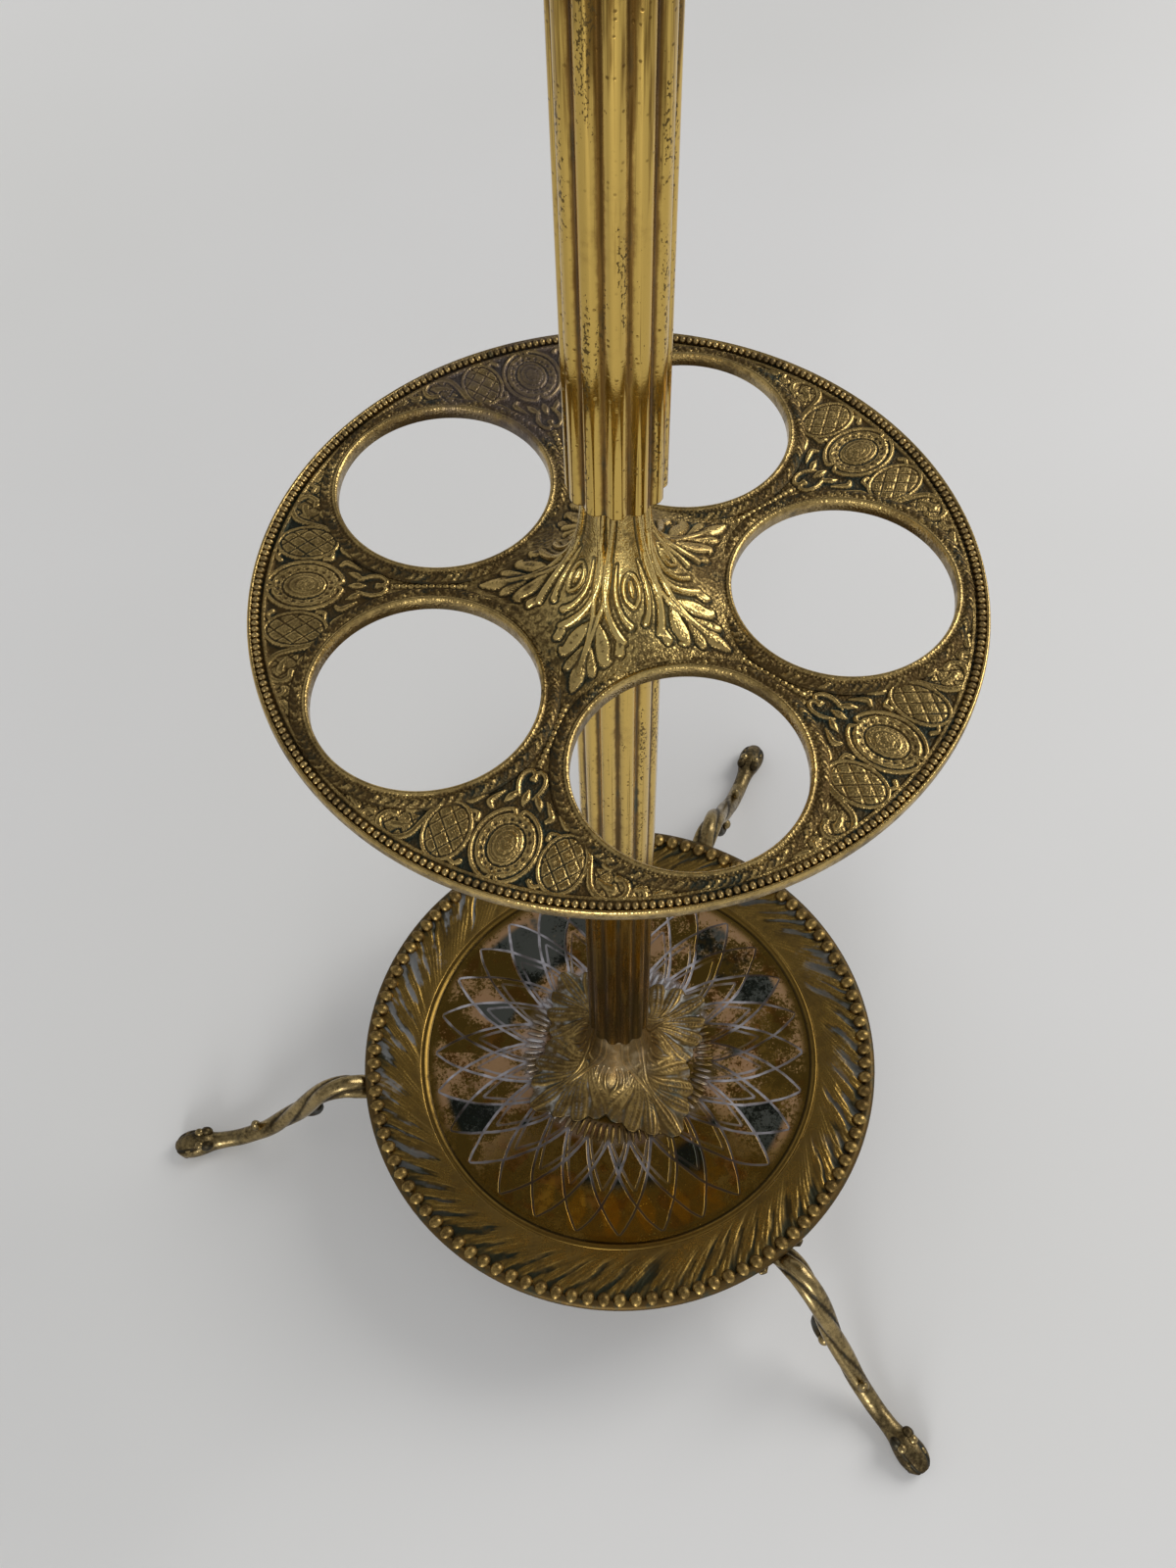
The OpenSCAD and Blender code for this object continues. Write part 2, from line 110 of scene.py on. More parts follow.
def noise(tree, where, scale, detail=3.0, rough=0.55):
    return put(tree, "ShaderNodeTexNoise", {"Vector": where, "Scale": scale, "Detail": detail,
                                            "Roughness": rough}).outputs["Fac"]


def own_place(tree):
    return tree.nodes.new("ShaderNodeTexCoord").outputs["Object"]


def mapped(tree, place, **change):
    """The place moved or stretched, so that a pattern lies elsewhere or runs longer."""
    return put(tree, "ShaderNodeMapping", {"Vector": place, **change}).outputs[0]


def hollow_here(tree):
    """How deep in a hollow the piece's surface lies here, as its mesh says; on the ring's trumpet it also
    holds painted shade and shadow.
    """
    return put(tree, "ShaderNodeAttribute", attribute_name="hollow").outputs["Fac"]


# Tarnish: brown oxide and green verdigris that gather in the hollows of old brass
TARNISH, given, result = new_tree(
    "tarnish", "Shader",
    {"Color": ["Bright", "Brown", "Green"], "Float": ["Hollow", "Scale", "Brown Amount", "Green Amount"]},
    {"Color": ["Color"], "Float": ["Dull"]})
place = own_place(TARNISH)
broad = noise(TARNISH, place, given["Scale"], 4.0, 0.6)
fine = noise(TARNISH, place, times(TARNISH, given["Scale"], 9.0), 3.0, 0.65)
other = noise(TARNISH, mapped(TARNISH, place, Location=(3.1, 1.7, 5.3)),
              times(TARNISH, given["Scale"], 1.7), 4.0, 0.6)
brown = maths(TARNISH, "ADD", given["Hollow"], given["Brown Amount"])
brown = scaled(TARNISH, broad, 1.3, maths(TARNISH, "SUBTRACT", brown, 0.65))
brown = scaled(TARNISH, fine, 0.9, maths(TARNISH, "SUBTRACT", brown, 0.45))
brown = soft_step(TARNISH, brown, 0.1, 0.9)
green = scaled(TARNISH, given["Hollow"], 0.7, given["Green Amount"])
green = scaled(TARNISH, other, 2.2, maths(TARNISH, "SUBTRACT", green, 1.5))
green = soft_step(TARNISH, green, 0.0, 0.7)
shade = blend_colour(TARNISH, brown, given["Bright"], given["Brown"])
TARNISH.links.new(blend_colour(TARNISH, green, shade, given["Green"]), result["Color"])
TARNISH.links.new(most(TARNISH, brown, green), result["Dull"])

# Pits: pinholes and brown specks where the lacquer has gone
PITS, given, result = new_tree("pits", "Shader", {"Float": ["Scale", "Share"]}, {"Float": ["Mask"]})
place = own_place(PITS)
cells = put(PITS, "ShaderNodeTexVoronoi", {"Vector": place, "Scale": given["Scale"]})
chance = put(PITS, "ShaderNodeSeparateColor", {0: cells.outputs["Color"]}).outputs[0]
chosen = maths(PITS, "LESS_THAN", chance, given["Share"])
near = soft_step(PITS, cells.outputs["Distance"], 0.34, 0.12)
patches = soft_step(PITS, noise(PITS, place, times(PITS, given["Scale"], 0.06)), 0.4, 0.62)
PITS.links.new(times(PITS, times(PITS, near, chosen), patches), result["Mask"])


def new_material(name):
    """An empty material, its tree and its shader."""
    material = bpy.data.materials.new(name)
    material.use_nodes = True
    return material, material.node_tree, material.node_tree.nodes["Principled BSDF"]


def brass(name, bright, brown, green=(0.06, 0.075, 0.05), scale=45.0, brown_amount=0.3, green_amount=0.1,
          gloss=0.22, dull=0.5, pit_scale=700.0, pit_share=0.25, grain=0.05,
          hollow=hollow_here, tint=None, extra_height=None):
    """A brass finish. bright is bare metal, brown and green what lies in the hollows; gloss and dull are the
    roughness of bare and of tarnished metal. tint and extra_height may add this piece's own pattern; a third
    value from tint says where chalk and oxide hide the metal."""
    material, tree, shader = new_material(name)
    shader.inputs["Metallic"].default_value = 1.0
    aged = put(tree, "ShaderNodeGroup", {
        "Bright": (*bright, 1), "Brown": (*brown, 1), "Green": (*green, 1), "Hollow": hollow(tree),
        "Scale": scale, "Brown Amount": brown_amount, "Green Amount": green_amount}, node_tree=TARNISH)
    pit = put(tree, "ShaderNodeGroup", {
        "Scale": pit_scale, "Share": pit_share}, node_tree=PITS).outputs["Mask"]
    colour = blend_colour(tree, times(tree, pit, 0.8), aged.outputs["Color"], tuple(c * 0.35 for c in brown))
    dullness = most(tree, aged.outputs["Dull"], pit)
    if tint:
        colour, dullness, *chalk = tint(tree, colour, dullness)
        if chalk:
            tree.links.new(rest(tree, chalk[0]), shader.inputs["Metallic"])
    tree.links.new(colour, shader.inputs["Base Color"])
    place = own_place(tree)
    speckle = noise(tree, place, 1500.0, 2.0, 0.6)
    rough = put(tree, "ShaderNodeMapRange", {0: dullness, 3: gloss, 4: dull}).outputs[0]
    rough = scaled(tree, speckle, 0.12, maths(tree, "SUBTRACT", rough, 0.06))
    tree.links.new(rough, shader.inputs["Roughness"])
    height = scaled(tree, speckle, grain, times(tree, pit, -0.2))
    if extra_height:
        height = maths(tree, "ADD", height, extra_height(tree))
    bump = put(tree, "ShaderNodeBump", {"Height": height, "Strength": 0.6, "Distance": 0.0004})
    tree.links.new(bump.outputs[0], shader.inputs["Normal"])
    return material


def new_object(name, data):
    made = bpy.data.objects.new(name, data)
    bpy.context.scene.collection.objects.link(made)
    return made


def keep_hollow(mesh, hollow):
    """Stores how deep in a hollow each point lies, for the finish to read; on the ring's trumpet this also
    holds painted shade and shadow.
    """
    mesh.attributes.new("hollow", "FLOAT", "POINT").data.foreach_set(
        "value", np.asarray(hollow, np.float32).ravel())


def make_piece(name, points, faces, material, node, hollow=None, turn=0.0):
    """A finished piece from millimetres round the column's axis, turned about it by an angle in degrees."""
    points = np.asarray(points, float).reshape(-1, 3)
    c, s = math.cos(math.radians(turn)), math.sin(math.radians(turn))
    placed = np.column_stack((AXIS[0] + (points[:, 0] * c - points[:, 1] * s) / 1000,
                              AXIS[1] + (points[:, 0] * s + points[:, 1] * c) / 1000, points[:, 2] / 1000))
    mesh = bpy.data.meshes.new(name)
    mesh.from_pydata(placed.tolist(), [], [list(f) for f in faces])
    if hollow is not None:
        keep_hollow(mesh, hollow)
    mesh.polygons.foreach_set("use_smooth", [True] * len(mesh.polygons))
    mesh.materials.append(material)
    mesh.validate()
    ride_on(new_object(name, mesh), node)


def ride_on(piece, node):
    """Fixes a piece to the stand: it stands for a CAD node, which is hidden."""
    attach(piece, "root")
    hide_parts(node)


def grid_faces(rows, columns, wrap=False):
    """Quads between rows of points; wrap joins the last column to the first."""
    across = columns if wrap else columns - 1
    i, j = np.meshgrid(np.arange(rows - 1), np.arange(across), indexing="ij")
    k = (j + 1) % columns
    quads = np.stack((i * columns + j, i * columns + k, (i + 1) * columns + k, (i + 1) * columns + j), -1)
    return quads.reshape(-1, 4).tolist()


def bar_faces(rows, sides):
    """Quads round a bar, and its two ends."""
    last = (rows - 1) * sides
    return grid_faces(rows, sides, True) + [list(range(sides))[::-1], [last + j for j in range(sides)]]


def round_angles(count):
    return np.arange(count) * 2 * math.pi / count


def turned(radius, height, angle):
    """Points at a radius and a height round an upright axis."""
    return np.stack((radius * np.cos(angle), radius * np.sin(angle), height + 0 * angle), -1)


def capped(value):
    """The value kept from 0 to 1."""
    return np.clip(value, 0, 1)


def hump(value, width):
    """1 at 0, fading to nothing on both sides."""
    return np.exp(-(value / width) ** 2)


def distance_along(line):
    """How far along a line each of its points lies."""
    return np.concatenate(([0], np.cumsum(np.hypot(*np.diff(line, axis=0).T))))


def smooth_path(knots, steps):
    """Points on a smooth curve through rows of knots."""
    knots = np.asarray(knots, float)
    t = np.linspace(0, len(knots) - 1, steps)
    i = np.minimum(t.astype(int), len(knots) - 2)
    u = (t - i)[:, None]
    a, b = knots[np.maximum(i - 1, 0)], knots[i]
    c, d = knots[i + 1], knots[np.minimum(i + 2, len(knots) - 1)]
    return b + 0.5 * u * (c - a + u * (2 * a - 5 * b + 4 * c - d + u * (3 * (b - c) + d - a)))


def ball(centre, radii):
    """Points and faces of a closed ellipsoid."""
    rings, sides = 12, 20
    v = np.linspace(0, math.pi, rings + 1)[1:-1]
    body = turned(np.sin(v)[:, None], np.cos(v)[:, None], round_angles(sides)).reshape(-1, 3)
    points = np.vstack((body, [[0, 0, 1], [0, 0, -1]])) * radii + centre
    n, m = len(body), len(v)
    faces = [f[::-1] for f in grid_faces(m, sides, True)]
    faces += [[n, j, (j + 1) % sides] for j in range(sides)]
    faces += [[n + 1, (m - 1) * sides + (j + 1) % sides, (m - 1) * sides + j] for j in range(sides)]
    return points, faces


def tube(path, radius, sides=14):
    """A round bar along a path of points, closed at both ends. radius may change along it."""
    path = np.asarray(path, float)
    run = np.gradient(path, axis=0)
    run /= np.linalg.norm(run, axis=1)[:, None]
    across = np.cross(run, [0.31, 0.2, 0.93])
    across /= np.linalg.norm(across, axis=1)[:, None]
    other = np.cross(run, across)
    radius = np.broadcast_to(radius, len(path))[:, None, None]
    w = round_angles(sides)
    ring = np.cos(w)[None, :, None] * across[:, None] + np.sin(w)[None, :, None] * other[:, None]
    return (path[:, None] + ring * radius).reshape(-1, 3), bar_faces(len(path), sides)


def joined(parts):
    """Several (points, faces) as one."""
    points, faces, start = [], [], 0
    for p, f in parts:
        points.append(np.asarray(p, float).reshape(-1, 3))
        faces += [[k + start for k in face] for face in f]
        start += len(points[-1])
    return np.vstack(points), faces


LEG_TURNS = {"left_leg": -172.5, "front_leg": -52.7, "back_leg": 69.0}
LEG_KNOTS = [  # distance out, height, half width, half thickness
    [44, 58.7, 6, 5], [90, 57.7, 5.75, 4.8], [132, 58.1, 6.2, 4.8], [141, 60.6, 6.5, 4.8],
    [147.5, 64.2, 6.5, 5], [155.5, 66.4, 6.2, 5.3], [167.3, 60.4, 5.7, 5.3], [185.3, 38.9, 5.3, 5.1],
    [204.2, 19.7, 5.0, 4.8], [221.4, 9.7, 4.8, 4.7], [232, 7.4, 4.7, 4.8], [239.5, 6.9, 5.3, 5.2],
    [246, 7.3, 7.2, 6.9], [252.5, 6.8, 8.0, 6.6], [258.3, 5.4, 6.9, 5.3], [261.6, 4.2, 4.2, 3.8]]
STATIONS, SIDES = 260, 72

leg_brass = brass("leg_brass", (0.38, 0.28, 0.125), (0.052, 0.037, 0.018), green=(0.04, 0.045, 0.04),
                  scale=60, brown_amount=0.40, green_amount=0.14, gloss=0.20, dull=0.5, pit_share=0.3,
                  grain=0.12)

line = smooth_path(LEG_KNOTS, STATIONS)
run = np.gradient(line[:, :2], axis=0)
run /= np.linalg.norm(run, axis=1)[:, None]
length = distance_along(line[:, :2])
s, w = np.meshgrid(length, round_angles(SIDES), indexing="ij")
knee_at = length[np.argmax(line[:, 1])]
# Three strands wind down the shin and part from each other in dark creases
wound = capped((s - knee_at + 22) / 16) * capped((knee_at + 84 - s) / 26)
wind = 1.5 * (w + math.radians(3.1) * (s - knee_at) + 0.5)
strand = np.abs(np.cos(wind)) ** 0.8
# The paw: four toes parted by grooves that fade towards the ankle
toes = capped((s - length[-1] + 15) / 7) * capped(np.sin(w) + 0.5)
part = np.abs(np.cos(2 * np.arccos(np.clip(np.cos(w), -1, 1))))
swell = 1 + wound * (0.30 * strand - 0.20) - toes * 0.16 * hump(part, 0.25)
half_w = (line[:, 2][:, None] * swell) * np.cos(w)
half_t = (line[:, 3][:, None] * swell) * np.sin(w)
body = np.stack((line[:, 0][:, None] - run[:, 1][:, None] * half_t, half_w,
                 line[:, 1][:, None] + run[:, 0][:, None] * half_t), -1)
body[..., 2] = np.maximum(body[..., 2], 0.0)
paw = capped((s - length[-1] + 24) / 6)
ankle = capped((s - knee_at - 66) / 30)
body_hollow = (wound * capped(0.62 - 1.0 * strand) + 0.12 * paw + 0.16 * ankle
               + toes * hump(part, 0.3) * 0.7)
body_hollow = capped(body_hollow)
parts = [(body.reshape(-1, 3), bar_faces(STATIONS, SIDES))]
dark = [body_hollow.ravel()]


def add(part, shade):
    parts.append(part)
    dark.append(np.full(len(part[0]), shade))


# Curl that hangs under the shin and ends in a knob
curl = smooth_path([[177.0, 0, 46, 2.8], [174.4, -0.8, 41, 3.1], [174.6, -1.6, 35, 3.2],
                    [177.6, -2.2, 29.8, 3.0], [181.4, -2.6, 28.4, 2.7], [184.2, -2.9, 31.0, 2.4]], 30)
add(tube(curl[:, :3], curl[:, 3]), 0.75)
add(ball((183.4, -3.2, 30.6), (3.5, 3.6, 3.4)), 0.0)
# Peg on the shin, twin ankle horns, toe knuckles with claws
add(ball((213.0, -0.8, 20.6), (3.0, 3.1, 5.2)), 0.0)
for side in (-1, 1):
    add(ball((243.6, side * 4.4, 12.0), (3.6, 2.8, 3.6)), 0.4)
    add(ball((247.6, side * 3.8, 13.4), (2.7, 2.5, 2.3)), 0.0)
for offset, reach in ((-5.4, 253.8), (-1.9, 256.8), (1.9, 256.8), (5.4, 253.8)):
    add(ball((reach, offset, 6.0), (4.4, 2.2, 4.6)), 0.1)
    add(ball((reach + 3.6, offset * 1.03, 3.2), (1.8, 1.2, 2.6)), 0.45)
# Small curled leaves that spread from the root under the rim
for side in (-1, 1):
    for turn_out, wide in ((0.0, 3.9), (6.5, 3.2)):
        blade = smooth_path([
            [125 - turn_out, side * 3, 58.0, 1.6], [132 - turn_out, side * 8, 57.6, wide],
            [138.2 - turn_out, side * 11.4, 57.6, wide], [142 - turn_out, side * 13, 58.2, wide * 0.5]], 14)
        blade_points, blade_faces = tube(blade[:, :3], blade[:, 3], 12)
        middle_line = np.repeat(blade[:, 2], 12)
        blade_points[:, 2] = middle_line + (blade_points[:, 2] - middle_line) * 0.42
        add((blade_points, blade_faces), 0.1)
leg_points, leg_faces = joined(parts)
leg_hollow = np.concatenate(dark)
for node, angle in LEG_TURNS.items():
    make_piece(node + "_cast", leg_points, leg_faces, leg_brass, node, leg_hollow, turn=angle)


# ---- Leg hub, screws and nut stack ----
# A cast disc under the tray takes the three tenons, each held by a cheese-head screw. The disc is as cast;
# the rod, the screws, the washers and the nut are bright steel gone a little dull.

def dress(node, material):
    """Gives a CAD piece its finish."""
    for holder in cad[node].material_slots:
        holder.material = material


hub_brass = brass("hub_brass", (0.40, 0.28, 0.11), (0.12, 0.08, 0.035), scale=70, brown_amount=0.5,
                  green_amount=0.2, gloss=0.4, dull=0.6, grain=0.5)
steel = brass("steel", (0.52, 0.52, 0.50), (0.20, 0.16, 0.12), green=(0.18, 0.10, 0.05), scale=90,
              brown_amount=0.15, green_amount=0.05, gloss=0.28, dull=0.5, grain=0.12)
dress("leg_hub", hub_brass)
for node in ("tie_rod", "leg_screws", "hub_washer", "lock_washer", "bottom_nut"):
    dress(node, steel)


# ---- The drip tray ----
# Spun from brass sheet: a flat floor engraved with a lattice of petals, a small rounded step, and a sloping
# border chased with feathers. Water has left grey lime in the engraving and brown and teal stains between.

PETALS, FEATHERS, DROPS = 28, 30, 31
# Millimetres from the column to the end of the short row, of the long row and to the step; and an azimuth
SHORT_END, LONG_END, STEP_AT, FRONT = 80.0, 103.5, 107.6, -88


def vector(tree, operation, *vectors):
    return put(tree, "ShaderNodeVectorMath", dict(enumerate(vectors)), operation=operation).outputs


def xyz(tree, *numbers):
    """One vector from up to three numbers."""
    return put(tree, "ShaderNodeCombineXYZ", dict(enumerate(numbers))).outputs[0]


def split(tree, place):
    """The X, Y and Z of a vector."""
    return put(tree, "ShaderNodeSeparateXYZ", {0: place}).outputs


def polar(tree):
    """Distance from the column in millimetres, angle in radians, and the place, as sockets."""
    place = mapped(tree, own_place(tree), Location=(-AXIS[0], -AXIS[1], 0.0))
    flat = vector(tree, "MULTIPLY", place, (1000, 1000, 0))[0]
    sides = split(tree, flat)
    return vector(tree, "LENGTH", flat)["Value"], maths(tree, "ARCTAN2", sides["Y"], sides["X"]), place


def from_middle(tree, value):
    """How far a number lies from the middle between two whole ones."""
    return maths(tree, "ABSOLUTE", maths(tree, "SUBTRACT", maths(tree, "FRACT", value), 0.5))


def lattice(tree):
    """How deep in an engraved line a point lies: two families of curved lines that meet in pointed tips. Also
    gives a chance number for each diamond between the lines."""
    reach, angle, place = polar(tree)
    turn = times(tree, angle, PETALS / (2 * math.pi))
    # Over the row's 52 millimetres a line leans by one petal and a half
    inward = most(tree, maths(tree, "SUBTRACT", LONG_END, reach), 0.0)
    inward = times(tree, maths(tree, "POWER", maths(tree, "DIVIDE", inward, 52.0), 0.9), 1.5)
    wobble = scaled(tree, noise(tree, place, 26.0, 2.0), 0.22, -0.11)
    turn = maths(tree, "ADD", turn, wobble)
    spacing = times(tree, reach, 2 * math.pi / PETALS * 0.85)
    gaps, cell = [], []
    for way in ("ADD", "SUBTRACT"):
        sum_of = maths(tree, way, turn, inward)
        gaps.append(from_middle(tree, sum_of))
        cell.append(maths(tree, "FLOOR", sum_of))
    gap = maths(tree, "SUBTRACT", 0.5, most(tree, *gaps))
    away = times(tree, gap, spacing)
    waver = scaled(tree, noise(tree, place, 160.0), 0.8, 0.1)
    line = soft_step(tree, away, maths(tree, "ADD", waver, 0.34), waver)
    # A second, shorter row of petals fills the ring next to the comb
    inward = most(tree, maths(tree, "SUBTRACT", SHORT_END, reach), 0.0)
    inward = scaled(tree, inward, 0.030, 0.5)
    gaps = [from_middle(tree, maths(tree, way, turn, inward)) for way in ("ADD", "SUBTRACT")]
    away = times(tree, maths(tree, "SUBTRACT", 0.5, most(tree, *gaps)), spacing)
    short = times(tree, soft_step(tree, away, maths(tree, "ADD", waver, 0.25), waver),
                  soft_step(tree, reach, SHORT_END + 0.5, SHORT_END - 0.5))
    line = most(tree, line, times(tree, short, 0.6))
    inside = times(tree, soft_step(tree, reach, LONG_END + 0.3, LONG_END - 0.5),
                   soft_step(tree, reach, 50.0, 53.0))
    chance = put(tree, "ShaderNodeTexWhiteNoise", {"Vector": xyz(tree, *cell)}, noise_dimensions="3D")
    return times(tree, line, inside), reach, place, chance.outputs["Value"]


def toward(tree, place, azimuth, low, high):
    """1 on the side of the tray towards an azimuth in degrees, 0 away from it."""
    way = (math.cos(math.radians(azimuth)), math.sin(math.radians(azimuth)), 0)
    flat = vector(tree, "NORMALIZE", vector(tree, "MULTIPLY", place, (1, 1, 0))[0])[0]
    return soft_step(tree, vector(tree, "DOT_PRODUCT", flat, way)["Value"], low, high)


def stained_floor(tree, colour, dullness):
    """Copper-pink oxide, teal and amber diamonds, and lime in the engraved lines and round the comb."""
    line, reach, place, chance = lattice(tree)
    inner = soft_step(tree, reach, 107.0, 101.0)
    big = noise(tree, place, 30.0, 3.0, 0.6)
    small = noise(tree, place, 520.0, 3.0, 0.75)
    front = toward(tree, place, FRONT, 0.40, 0.80)
    # Oxide: dry, pale and grainy, mostly left, behind and at the right front
    pink = scaled(tree, small, 0.55, scaled(tree, chance, 0.16, big))
    pink = times(tree, soft_step(tree, pink, 0.79, 0.93), inner)
    pink = times(tree, pink, rest(tree, front))
    # Teal and amber diamonds
    ring = times(tree, soft_step(tree, reach, 60.0, 66.0), soft_step(tree, reach, 101.0, 97.0))
    ragged = scaled(tree, noise(tree, place, 200.0, 3.0), 0.16, chance)
    teal = times(tree, soft_step(tree, ragged, 0.79, 0.87), times(tree, ring, 0.9))
    amber = times(tree, toward(tree, place, FRONT, 0.80, 0.95), soft_step(tree, reach, 74.0, 82.0))
    teal = times(tree, teal, rest(tree, amber))
    drops = maths(tree, "COSINE", times(tree, polar(tree)[1], DROPS))
    ends = maths(tree, "ABSOLUTE", maths(tree, "SUBTRACT", reach, 92.0))
    drops = soft_step(tree, scaled(tree, ends, -0.12, drops), -0.6, 0.0)
    amber = times(tree, amber, scaled(tree, drops, 0.85, 0.10))
    rust = times(tree, soft_step(tree, noise(tree, place, 75.0, 2.0), 0.52, 0.62), inner)
    colour = blend_colour(tree, times(tree, rust, 0.55), colour, (0.22, 0.085, 0.016))
    colour = blend_colour(tree, times(tree, pink, 0.85), colour, (0.30, 0.175, 0.09))
    colour = blend_colour(tree, teal, colour, (0.016, 0.034, 0.036))
    colour = blend_colour(tree, times(tree, amber, 0.8), colour, (0.46, 0.23, 0.02))
    # Lime stands in the lines, thickest at the left and round the comb, and leaves them dark in front
    comb = times(tree, soft_step(tree, reach, 41.0, 43.0), soft_step(tree, reach, 57.0, 53.0))
    scum = soft_step(tree, noise(tree, place, 26.0, 3.0), 0.36, 0.56)
    lime = times(tree, most(tree, line, times(tree, comb, 0.65)), scum)
    bare = times(tree, front, scaled(tree, soft_step(tree, reach, 66.0, 82.0), 0.45, 0.55))
    patchy = soft_step(tree, noise(tree, place, 110.0, 3.0), 0.30, 0.62)
    lime = times(tree, lime, scaled(tree, bare, -0.95, 0.95))
    lime = times(tree, lime, scaled(tree, patchy, 0.6, 0.4))
    colour = blend_colour(tree, times(tree, line, 0.92), colour, (0.04, 0.028, 0.022))
    colour = blend_colour(tree, lime, colour, (0.40, 0.39, 0.43))
    # A dark line of dirt lies against the step
    step = maths(tree, "ABSOLUTE", maths(tree, "SUBTRACT", reach, STEP_AT))
    dirt = times(tree, soft_step(tree, step, 1.1, 0.4), 0.85)
    colour = blend_colour(tree, dirt, colour, (0.03, 0.02, 0.01))
    brim = soft_step(tree, reach, 108.0, 109.0)
    colour = blend_colour(tree, times(tree, brim, 0.6), colour, (0.13, 0.078, 0.022))
    rough = most(tree, most(tree, times(tree, pink, 0.9), line), times(tree, brim, 0.5))
    chalk = most(tree, times(tree, lime, 0.85), times(tree, pink, 0.6))
    return colour, most(tree, dullness, rough), chalk


def engraving(tree):
    return times(tree, lattice(tree)[0], -0.45)


floor_brass = brass("tray_brass", (0.28, 0.175, 0.034), (0.10, 0.056, 0.013), scale=26, brown_amount=0.32,
                    green_amount=0.0, gloss=0.10, dull=0.55, pit_share=0.35, grain=0.03,
                    tint=stained_floor, extra_height=engraving)
# Half outline of the sheet from the middle of the floor over the edge and back underneath
top = [[4.2, 65.5], [12, 65.5], [30, 65.5], [60, 65.5], [90, 65.5], [103, 65.5], [106.6, 65.7], [108.2, 66.1],
       [109.0, 66.7], [109.8, 66.95], [110.6, 66.9], [111.3, 66.7]]
under = [[111.0, 65.2], [106, 64.2], [60, 64.0], [4.2, 64.0]]
outline = np.array(top + under)


def closed_ring(rows, columns):
    """Quads round a turned shape whose last row joins its first."""
    last = (rows - 1) * columns
    faces = [f[::-1] for f in grid_faces(rows, columns, True)]
    return faces + [[j, (j + 1) % columns, last + (j + 1) % columns, last + j] for j in range(columns)]


make_piece("tray_floor", turned(outline[:, :1], outline[:, 1:], round_angles(360)),
           closed_ring(len(outline), 360), floor_brass, "drip_tray")

# The border: feathers lean round the tray, smooth where they start and cut in uneven dark strokes further out
ROWS, COLUMNS, STROKES = 46, 1440, 72
INNER_EDGE, OUTER_EDGE = 111.3, 139.0
reach = np.linspace(0, 1, ROWS)[:, None]
angle = round_angles(COLUMNS)[None, :]
lean = angle * FEATHERS / (2 * math.pi) + 1.15 * reach + 0.25 * np.sin(math.pi * reach)
part = lean % 1.0
seed = np.random.default_rng(5)
drift = np.convolve(np.tile(seed.normal(size=STROKES), 3), np.ones(3) / 3, "same")[STROKES:2 * STROKES]
place_of = np.arange(STROKES + 1) + 0.42 * np.append(drift, drift[0])
barb_at = np.interp((lean * STROKES / FEATHERS) % STROKES, place_of - place_of[0], np.arange(STROKES + 1))
barb_at = barb_at + 0.16 * np.sin(9 * reach)
# Each stroke has its own depth, width and start
strength, start = seed.uniform(0.5, 1.0, STROKES), seed.uniform(0.0, 0.42, STROKES)
width = seed.uniform(0.12, 0.30, STROKES)
which = np.floor(barb_at).astype(int) % STROKES
barb = np.exp(-(np.abs((barb_at % 1.0) - 0.5) / width[which]) ** 2.4) * strength[which]
barb = barb * capped((reach - start[which]) * 3.5) * capped((1 - reach) * 9)
outer_end = capped((1 - reach) * 6)
fine = np.cos(2 * math.pi * (lean * 7 + 1.2 * part ** 2)) * capped(reach * 5) * outer_end
swell = 0.5 * np.sin(math.pi * part) ** 0.8 * np.sin(math.pi * capped(reach * 1.05)) ** 0.6
curl = 0.35 * np.sin(math.pi * (barb_at % 1.0)) * capped(reach * 2 - 0.5) * outer_end
grit = seed.normal(size=(ROWS, COLUMNS)) * 0.04
rise = swell + curl - 0.85 * barb + 0.08 * fine + grit * capped(reach * 3 - 0.4)
radius = INNER_EDGE + (OUTER_EDGE - INNER_EDGE) * reach
top = turned(radius, 66.7 + 1.9 * np.sin(reach * math.pi * 0.55) + rise, angle)
border = np.concatenate((top, turned(radius, 65.4 + 1.9 * reach, angle)[[-1, 0]]))
border_hollow = capped(1.25 * barb - 0.16 * fine + 0.35 * (reach - 0.5) - 0.5 * curl
                       + 0.2 * (1 - np.sin(math.pi * part)))
border_hollow = np.vstack((border_hollow, np.full((2, COLUMNS), 0.6)))


def limed_border(tree, colour, dullness):
    """Grey lime dried in the feathers, mostly at the left and behind."""
    reach, angle, place = polar(tree)
    back = times(tree, toward(tree, place, 20, 0.5, 1.0), 0.45)
    back = most(tree, toward(tree, place, 160, 0.3, 0.9), back)
    sunk = hollow_here(tree)
    drift = scaled(tree, noise(tree, place, 48.0, 4.0, 0.7), 1.1, times(tree, sunk, 0.35))
    lime = times(tree, soft_step(tree, drift, 0.66, 0.86), back)
    lime = times(tree, lime, soft_step(tree, reach, 112.0, 116.0))
    # Old brown bloom in patches, and dark green dirt that lies against the pearls
    bloom = times(tree, soft_step(tree, noise(tree, place, 85.0, 4.0, 0.65), 0.47, 0.60), 0.6)
    colour = blend_colour(tree, bloom, colour, (0.12, 0.078, 0.026))
    dirt = scaled(tree, noise(tree, place, 60.0, 3.0), 26.0, reach)
    dirt = scaled(tree, sunk, 7.0, dirt)
    dirt = times(tree, soft_step(tree, dirt, 145.0, 152.0), 0.8)
    colour = blend_colour(tree, dirt, colour, (0.035, 0.038, 0.024))
    colour = blend_colour(tree, times(tree, lime, 0.7), colour, (0.22, 0.225, 0.23))
    dullness = most(tree, dullness, most(tree, times(tree, bloom, 0.7), dirt))
    return colour, most(tree, dullness, lime), times(tree, lime, 0.6)


